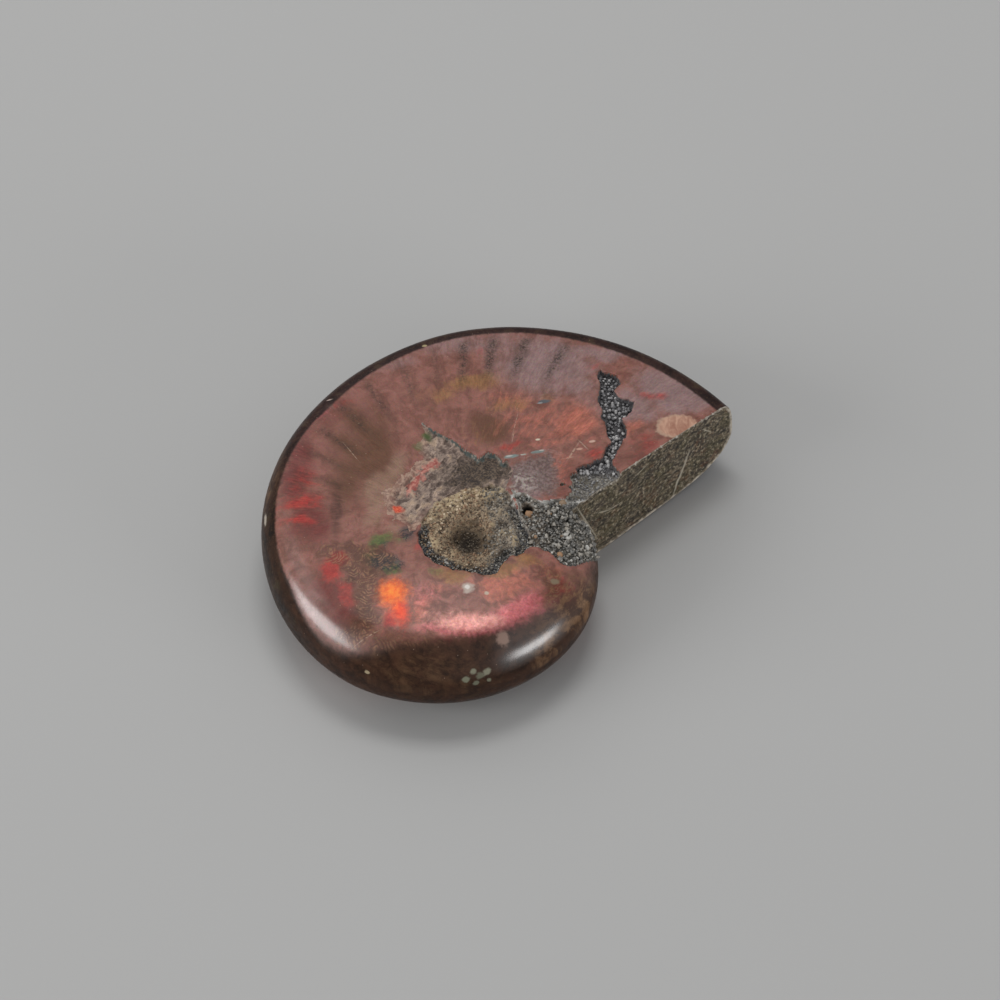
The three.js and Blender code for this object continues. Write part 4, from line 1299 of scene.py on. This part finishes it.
def sawn_face():
    f = Finish("sawn_face")
    f.grainy(3, 3)
    flat = f.flat("saw_along", "saw_up")
    lines = f.join("ShaderNodeMapping", {"Vector": flat, "Rotation": (0, 0, -BLADE_TILT),
                                         "Scale": (1.3, 4.2, 1)})
    hatch, speckle = f.noise(1, 5, 0.8, 0.8, lines), f.noise(4.2, 4, 0.8)
    olive, rust = f.noise(0.6, 4, 0.6, 0.6), f.noise(1, 4, 0.7)
    colour = f.layers(
        f.shades(hatch, 0.42, 0.6, (38, 32, 25), (126, 112, 92)),
        (olive, 0.42, 0.62, 0.55, (88, 80, 50)), (rust, 0.52, 0.66, 0.5, (112, 72, 46)),
        (f.noise(2.4, 4, 0.7, 0.5), 0.48, 0.36, 0.7, (38, 31, 26)),
        (speckle, 0.54, 0.61, 0.8, (178, 166, 142)), (speckle, 0.46, 0.39, 0.95, (20, 16, 13)))
    for at, size, tilt in CUT_MARKS:
        mark = f.times(f.spot(at, size, tilt, 0.6, 0.5, flat), 0.8)
        colour = f.blend(mark, colour, (186, 178, 160))
    shell = f.shades(f.noise(2, 3), 0.4, 0.6, (132, 118, 100), (216, 206, 190))
    colour = f.layers(colour, (f.frayed("from_rim", 0.28), 0.24, 0.06, 0.8, shell))
    normal = f.bump(hatch, 0.03, 0.7, f.bump(speckle, 0.05, 0.8))
    return f.finish(base_color=colour, roughness=f.band(hatch, 0.3, 0.7, 0.6, 0.9), normal=normal)


# %% [markdown]
# ## The stone as a Blender object
# The mesh is made from the list of points, which is far quicker than adding faces one by one. It
# is shaded smooth, and edges sharper than 50 degrees stay crisp, as the border of the cut is.

# %% A Blender mesh from numbers
def make_piece(name, places, faces, finishes, fields=None, which=None):
    """A mesh object from points in mm around the pole, in metres in the measured frame."""
    mesh = bpy.data.meshes.new(name)
    mesh.from_pydata(((places + POLE) * 0.001).tolist(), [], [f.tolist() for f in faces])
    for finish in finishes:
        mesh.materials.append(finish)
    if which is not None:
        mesh.polygons.foreach_set("material_index", np.asarray(which, np.int32))
    for field, values in (fields or {}).items():
        made = mesh.attributes.new(field, "FLOAT", "POINT")
        made.data.foreach_set("value", np.asarray(values, np.float32))
    mesh.shade_smooth()
    piece = bpy.data.objects.new(name, mesh)
    bpy.context.scene.collection.objects.link(piece)
    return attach(piece, "root")


stone = make_piece("ammonite_stone", points, list(quads) + list(tris),
                   [polished_shell(), rough_hollows(), sawn_face()], fields, face_finish)
stone.data.set_sharp_from_angle(angle=radians(50))
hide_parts("ammonite")
sides = np.concatenate([quads[:, [0, 1]], quads[:, [1, 2]], quads[:, [2, 3]], quads[:, [3, 0]],
                        tris[:, [0, 1]], tris[:, [1, 2]], tris[:, [2, 0]]])
_, uses = np.unique(np.sort(sides, axis=1), axis=0, return_counts=True)
print("edges without exactly two faces:", int((uses != 2).sum()))

# %% [markdown]
# ## Crystals and sand
# The grains are too many and too fine for the solid, so they are made here, as one joined mesh
# for each kind. A kind has a base shape of a few faces. Every grain is that shape, turned at
# random, scaled and sunk a little into the ground that carries it. Working on all the grains at
# once as arrays of numbers takes a fraction of a second. No grain may stick out of the measured
# solid's box, so the few points that would are moved back to its side.

# %% Strewing grains
import bmesh
from mathutils.bvhtree import BVHTree


def base_shape(kind):
    """Points and faces of one grain of size 1: a round sugar grain, a sand grain or a rhomb."""
    shape = bmesh.new()
    if kind == "rhomb":
        bmesh.ops.create_cube(shape, size=1.25)
        for corner in shape.verts:
            corner.co *= 1.25 if corner.co.x * corner.co.y * corner.co.z > 0 else 0.85
        bmesh.ops.triangulate(shape, faces=shape.faces[:])
    else:
        bmesh.ops.create_icosphere(shape, subdivisions=2 if kind == "sugar" else 1, radius=1)
    shape.verts.index_update()
    made = (np.array([v.co[:] for v in shape.verts]),
            np.array([[v.index for v in face.verts] for face in shape.faces]))
    shape.free()
    return made


def strew(name, kind, places, normals, sizes, finish, rng, jitter=0.1, sunk=0.3, tone=None):
    """One mesh of many grains; each has a tone from 0 to 1 that its material reads."""
    corners, faces = base_shape(kind)
    count = len(places)
    spin = rng.normal(size=(count, 4))
    a, b, c, d = (spin / np.linalg.norm(spin, axis=1, keepdims=True)).T
    turns = np.array([[1 - 2 * (c * c + d * d), 2 * (b * c - a * d), 2 * (b * d + a * c)],
                      [2 * (b * c + a * d), 1 - 2 * (b * b + d * d), 2 * (c * d - a * b)],
                      [2 * (b * d - a * c), 2 * (c * d + a * b), 1 - 2 * (b * b + c * c)]])
    grown = corners[None] * (1 + jitter * rng.uniform(-1, 1, (count, len(corners), 1)))
    grown = np.einsum("jkn,nik->nij", turns, grown) * sizes[:, None, None]
    spots = places + normals * (sizes * (1 - 2 * sunk))[:, None]
    all_points = np.clip((grown + spots[:, None]).reshape(-1, 3), LOWEST, HIGHEST)
    all_faces = (faces[None] + len(corners) * np.arange(count)[:, None, None]).reshape(-1, 3)
    tone = rng.uniform(0, 1, count) if tone is None else tone
    piece = make_piece(name, all_points, all_faces, [finish],
                       {"tone": np.repeat(tone, len(corners))})
    print(name + ":", count, "grains,", len(all_faces), "triangles")


# %% Seating grains on the stone
LOWEST, HIGHEST = (np.array(corner) * 1000 - POLE for corner in cad_box)
ABOVE_ALL = 9.0      # mm above the middle plane, higher than any part of the stone
ground = BVHTree.FromPolygons(points.tolist(), [f.tolist() for f in quads] + tris.tolist())


def drop(places):
    """Where a fall from above the stone ends on its upper side, and the slopes there."""
    falls = [ground.ray_cast((*at, ABOVE_ALL), (0, 0, -1)) for at in places]
    ends = [fall for fall in falls if fall[0] and fall[0].z > -0.5]
    return np.array([end[0] for end in ends]), np.array([end[1] for end in ends])


def seats(zone, spacing, rng, reach, share):
    """Scattered places of a zone, on a shaken grid between left, right, front and back."""
    xs, ys = np.arange(reach[0], reach[1], spacing), np.arange(reach[2], reach[3], spacing)
    x, y = (v.ravel() for v in np.meshgrid(xs, ys))
    x, y = (v + rng.uniform(-0.5, 0.5, x.shape) * spacing * 0.9 for v in (x, y))
    good = zone(x, y) & (rng.uniform(size=x.shape) < share)
    return drop(zip(x[good], y[good]))


print("the pit's bottom is", round(drop([PIT])[0][0, 2], 2), "mm above the middle plane")


# %% [markdown]
# ## Finishes of the grains
# Grains of one kind still differ from each other. The tone number runs through three or four
# colours, so neighbours never match. Sugar grains are milky and a little glossy, dark crystals
# are glossy with small bright faces, chips of shell are smooth, and sand is dull.

# %% Six kinds of grain
def grain_finish(name, tones, rough, coat):
    """A finish whose colour steps through tones, given as pairs of a place and a colour."""
    f = Finish(name)
    ramp_node = f.nodes.new("ShaderNodeValToRGB")
    stops = ramp_node.color_ramp.elements
    while len(stops) < len(tones):
        stops.new(0.5)
    for stop, (at, tint) in zip(stops, tones):
        stop.position, stop.color = at, screen(*tint)
    f.feed(ramp_node.inputs["Fac"], "tone")
    speckle = f.noise(14.0, 3.0, 0.7)
    colour = f.layers(ramp_node.outputs["Color"], (speckle, 0.4, 0.7, 0.45, tones[-1][1]))
    return f.finish(base_color=colour, roughness=f.band(speckle, 0.3, 0.7, rough, rough + 0.2),
                    normal=f.bump(speckle, 0.01, 0.6), coat_weight=coat, coat_roughness=0.2)


GRAINS = {   # tones from dark to bright, roughness and weight of the coat
    "sugar_grains": ([(0, (80, 80, 84)), (0.5, (124, 123, 125)), (1, (198, 196, 194))], 0.35, 0.3),
    "dark_crystals": ([(0, (54, 53, 50)), (0.5, (116, 113, 108)), (0.8, (166, 157, 143)),
                       (1, (212, 210, 203))], 0.3, 0.4),
    "sand_grains": ([(0, (44, 33, 25)), (0.35, (142, 106, 78)), (0.6, (170, 148, 120)),
                     (1, (232, 214, 186))], 0.75, 0.0),
    "grey_grains": ([(0, (52, 47, 42)), (0.5, (130, 121, 109)), (1, (204, 198, 186))], 0.7, 0.0),
    "shell_chips": ([(0, (132, 120, 104)), (0.6, (176, 166, 150)), (1, (214, 206, 194))],
                    0.45, 0.2),
    "tan_grains": ([(0, (150, 112, 82)), (0.5, (182, 142, 106)), (1, (136, 118, 98))], 0.6, 0.1),
}
sugar, dark_crystal, sand_grain, grey_grain, chip, tan_grain = (
    grain_finish(name, *looks) for name, looks in GRAINS.items())
print("finishes of grains:", ", ".join(GRAINS))

# %% [markdown]
# ## Where the crystals grew
# Crystals grow on the walls of an open space, so each kind belongs to one hollow. Sugar-like ones
# fill the crack, and crumbs of the same mineral lie at its foot. Dark rhombs line the pocket, the
# groove round the sand and a scrap of the cut. Each place is a yes or no for every point in plan.

# %% Places of the crystals
def in_crack(x, y):
    return (upper_zones(x, y)["crack"] > 0.1) & (y > 4.4 + 0.5 * noise(x, y, 0.9, 59))


def in_foot(x, y):
    """The foot of the crack, a crumbly grey patch beside the cut."""
    return (upper_zones(x, y)["crack"] > 0.05) & (past_saw(x, y, 3.5) < -0.08) & (y < 5.0)


def in_pocket(x, y):
    zones = upper_zones(x, y)
    clear = np.hypot(x - HOLE[0], y - HOLE[1]) > 0.45
    return (zones["pocket"] > 0.05) & (zones["umbilicus"] < 0.0) & clear


def in_groove(x, y):
    inside = upper_zones(x, y)["umbilicus"]
    return (inside > 0.04) & (inside < 0.75) & (0.25 * x - y > -0.6)


# %% Crystals of the crack, the pocket and the groove
rng = np.random.default_rng(21)
spots, slopes = seats(in_crack, 0.24, rng, (6, 12, 0.5, 14), 0.9)
sizes = rng.uniform(0.08, 0.14, len(spots))
strew("crack_crystals", "sugar", spots + [0, 0, 0.05], slopes, sizes, sugar, rng, 0.15)
spots, slopes = seats(in_foot, 0.15, rng, (6, 12, 0.5, 5.5), 0.6)
sizes, tones = rng.uniform(0.03, 0.09, len(spots)), rng.uniform(0, 1, len(spots)) ** 1.5
strew("foot_crystals", "rhomb", spots, slopes, sizes, sugar, rng, 0.2, 0.4, tones)
spots, slopes = seats(in_pocket, 0.17, rng, (3.5, 10, -4, 3), 0.85)
sizes = rng.uniform(0.06, 0.13, len(spots)) * (1 + 0.7 * (rng.uniform(size=len(spots)) < 0.15))
strew("pocket_crystals", "rhomb", spots, slopes, sizes, dark_crystal, rng)
along, up = rng.uniform(5.0, 9.0, 700), rng.uniform(-3, 3.6, 700)
inside = (inside_by(along, up, cut_flat) > 0.08) & (along + 0.35 * up < 7.65)
spots = on_saw(along[inside], up[inside])
slopes, sizes = np.tile([*ACROSS_SAW, 0], (len(spots), 1)), rng.uniform(0.08, 0.2, len(spots))
strew("crust_crystals", "rhomb", spots, slopes, sizes, dark_crystal, rng)
spots, slopes = seats(in_groove, 0.17, rng, (-4, 6, -5, 3), 0.85)
sizes = rng.uniform(0.05, 0.11, len(spots))
strew("groove_crystals", "rhomb", spots, slopes, sizes, dark_crystal, rng)


# %% [markdown]
# ## Chips, single grains and sand
# The saw broke small chips off the shell's edge. Six tan grains sit in the pocket and beside it,
# each with its own place, size and tone. Loose-looking sand covers the plug; it clumps, is painted
# darker in the pit as painted shade, and turns from tan to grey on the right.

# %% Chips of shell along the cut, and single grains
along = np.concatenate([rng.uniform(8.6, 19.6, 40), rng.uniform(18.4, 19.8, 16)])
spots = on_saw(along, np.interp(along, upper_cut @ [*ALONG_SAW, 0], upper_cut[:, 2]) - 0.03)
strew("shell_chips", "rhomb", spots, np.tile([0, 0, 1.0], (len(spots), 1)),
      rng.uniform(0.05, 0.12, len(spots)), chip, rng, 0.25, 0.75)
TAN_GRAINS = np.array([   # place, size and tone
    (4.5, 1.2, 0.27, 0.3), (6.49, -1.94, 0.2, 0.4), (6.7, 1.95, 0.24, 0.9),
    (5.9, 1.2, 0.12, 0.7), (6.6, -0.4, 0.14, 0.9), (4.9, -0.6, 0.13, 0.6)])
spots, slopes = drop(TAN_GRAINS[:, :2])
strew("tan_grains", "sugar", spots, slopes, TAN_GRAINS[:, 2], tan_grain, rng, 0.2, 0.35,
      TAN_GRAINS[:, 3])


# %% Sand of the umbilicus
def on_mound(x, y):
    return upper_zones(x, y)["umbilicus"] > 0.2


spots, slopes = seats(on_mound, 0.16, rng, (-4, 6, -5, 4), 0.8)
clump = 0.5 + 0.5 * noise(spots[:, 0], spots[:, 1], 0.8, 58)
sizes = rng.uniform(0.035, 0.09, len(spots)) * (0.8 + 0.7 * clump)
from_pit = np.hypot(spots[:, 0] - PIT[0], spots[:, 1] - PIT[1])
# grains near the pit get darker tones, as painted shade
tone = rng.uniform(0, 1, len(spots)) ** 1.3 * ramp(from_pit, 0.5, 2.1) * (0.5 + 0.5 * clump)
greyer = spots[:, 0] + 0.8 * noise(spots[:, 0], spots[:, 1], 0.9, 57) > 1.7
for name, some, finish in (("umbilicus_sand", ~greyer, sand_grain),
                           ("grey_sand", greyer, grey_grain)):
    strew(name, "sand", spots[some], slopes[some], sizes[some], finish, rng, 0.35, 0.4, tone[some])

# %% [markdown]
# ## Camera, lights and floor
# The stone is looked down on from the front, through a long lens, so that near and far parts
# are seen at nearly the same size. A softbox overhead and a broad one behind give the flanks
# their milky sheen. One on each side, low down, gives the two long glints on the front shoulders.

# %% Camera
LOOK_AT = Vector((0.000115, 0.001341, 0.00367))
ELEVATION, DISTANCE, FIELD_OF_VIEW = radians(55), 0.37015, radians(10.389)
camera_data = bpy.data.cameras.new("camera")
camera_data.sensor_fit, camera_data.angle = "HORIZONTAL", FIELD_OF_VIEW
camera_data.clip_start = 0.01
camera = bpy.data.objects.new("camera", camera_data)
camera.location = LOOK_AT + DISTANCE * Vector((0, -cos(ELEVATION), sin(ELEVATION)))
camera.rotation_euler = (pi / 2 - ELEVATION, 0, 0)
bpy.context.scene.collection.objects.link(camera)
bpy.context.scene.camera = camera


# %% Lights
LAMP_DISTANCE = 0.5


def softbox(name, azimuth, elevation, size, power, roll=0):
    """A rectangular light that faces the stone; azimuth 0 is to the right, 90 behind."""
    data = bpy.data.lights.new(name, "AREA")
    data.shape, data.size, data.size_y, data.energy = "RECTANGLE", *size, power
    lamp = bpy.data.objects.new(name, data)
    a, e = radians(azimuth), radians(elevation)
    aim = Vector((cos(a) * cos(e), sin(a) * cos(e), sin(e)))
    lamp.location = LOOK_AT + LAMP_DISTANCE * aim
    turned = aim.to_track_quat("Z", "Y") @ Quaternion((0, 0, 1), radians(roll))
    lamp.rotation_euler = turned.to_euler()
    bpy.context.scene.collection.objects.link(lamp)


softbox("softbox_above", 90, 71, (0.2, 0.12), 0.56)
softbox("softbox_fill", 125, 48, (0.5, 0.4), 0.36)
softbox("softbox_left", 200, 17, (0.3, 0.32), 1.1, 35)
softbox("softbox_right", -34, 9, (0.25, 0.16), 0.66, -15)
world = bpy.data.worlds.new("studio")
world.use_nodes = True
sky = world.node_tree.nodes["Background"].inputs
sky["Color"].default_value, sky["Strength"].default_value = (0.8, 0.8, 0.82, 1), 0.4
bpy.context.scene.world = world

# %% [markdown]
# ## The floor and the view
# The floor is plain and pale, and it is only a stage for the picture. The view transform is set
# to Standard, because the usual one greys strong reds, and red is what this stone is about.

# %% Floor and view transform
bpy.context.scene.view_settings.view_transform = "Standard"
floor_mesh = bpy.data.meshes.new("floor")
floor_mesh.from_pydata([(-2, -2, 0), (2, -2, 0), (2, 2, 0), (-2, 2, 0)], [], [(0, 1, 2, 3)])
floor = bpy.data.objects.new("floor", floor_mesh)
bpy.context.scene.collection.objects.link(floor)
floor_finish = bpy.data.materials.new("pale_floor")
floor_finish.use_nodes = True
floor_look = floor_finish.node_tree.nodes["Principled BSDF"].inputs
floor_look["Base Color"].default_value = (0.52, 0.52, 0.51, 1)
floor_look["Roughness"].default_value = 0.8
floor_mesh.materials.append(floor_finish)
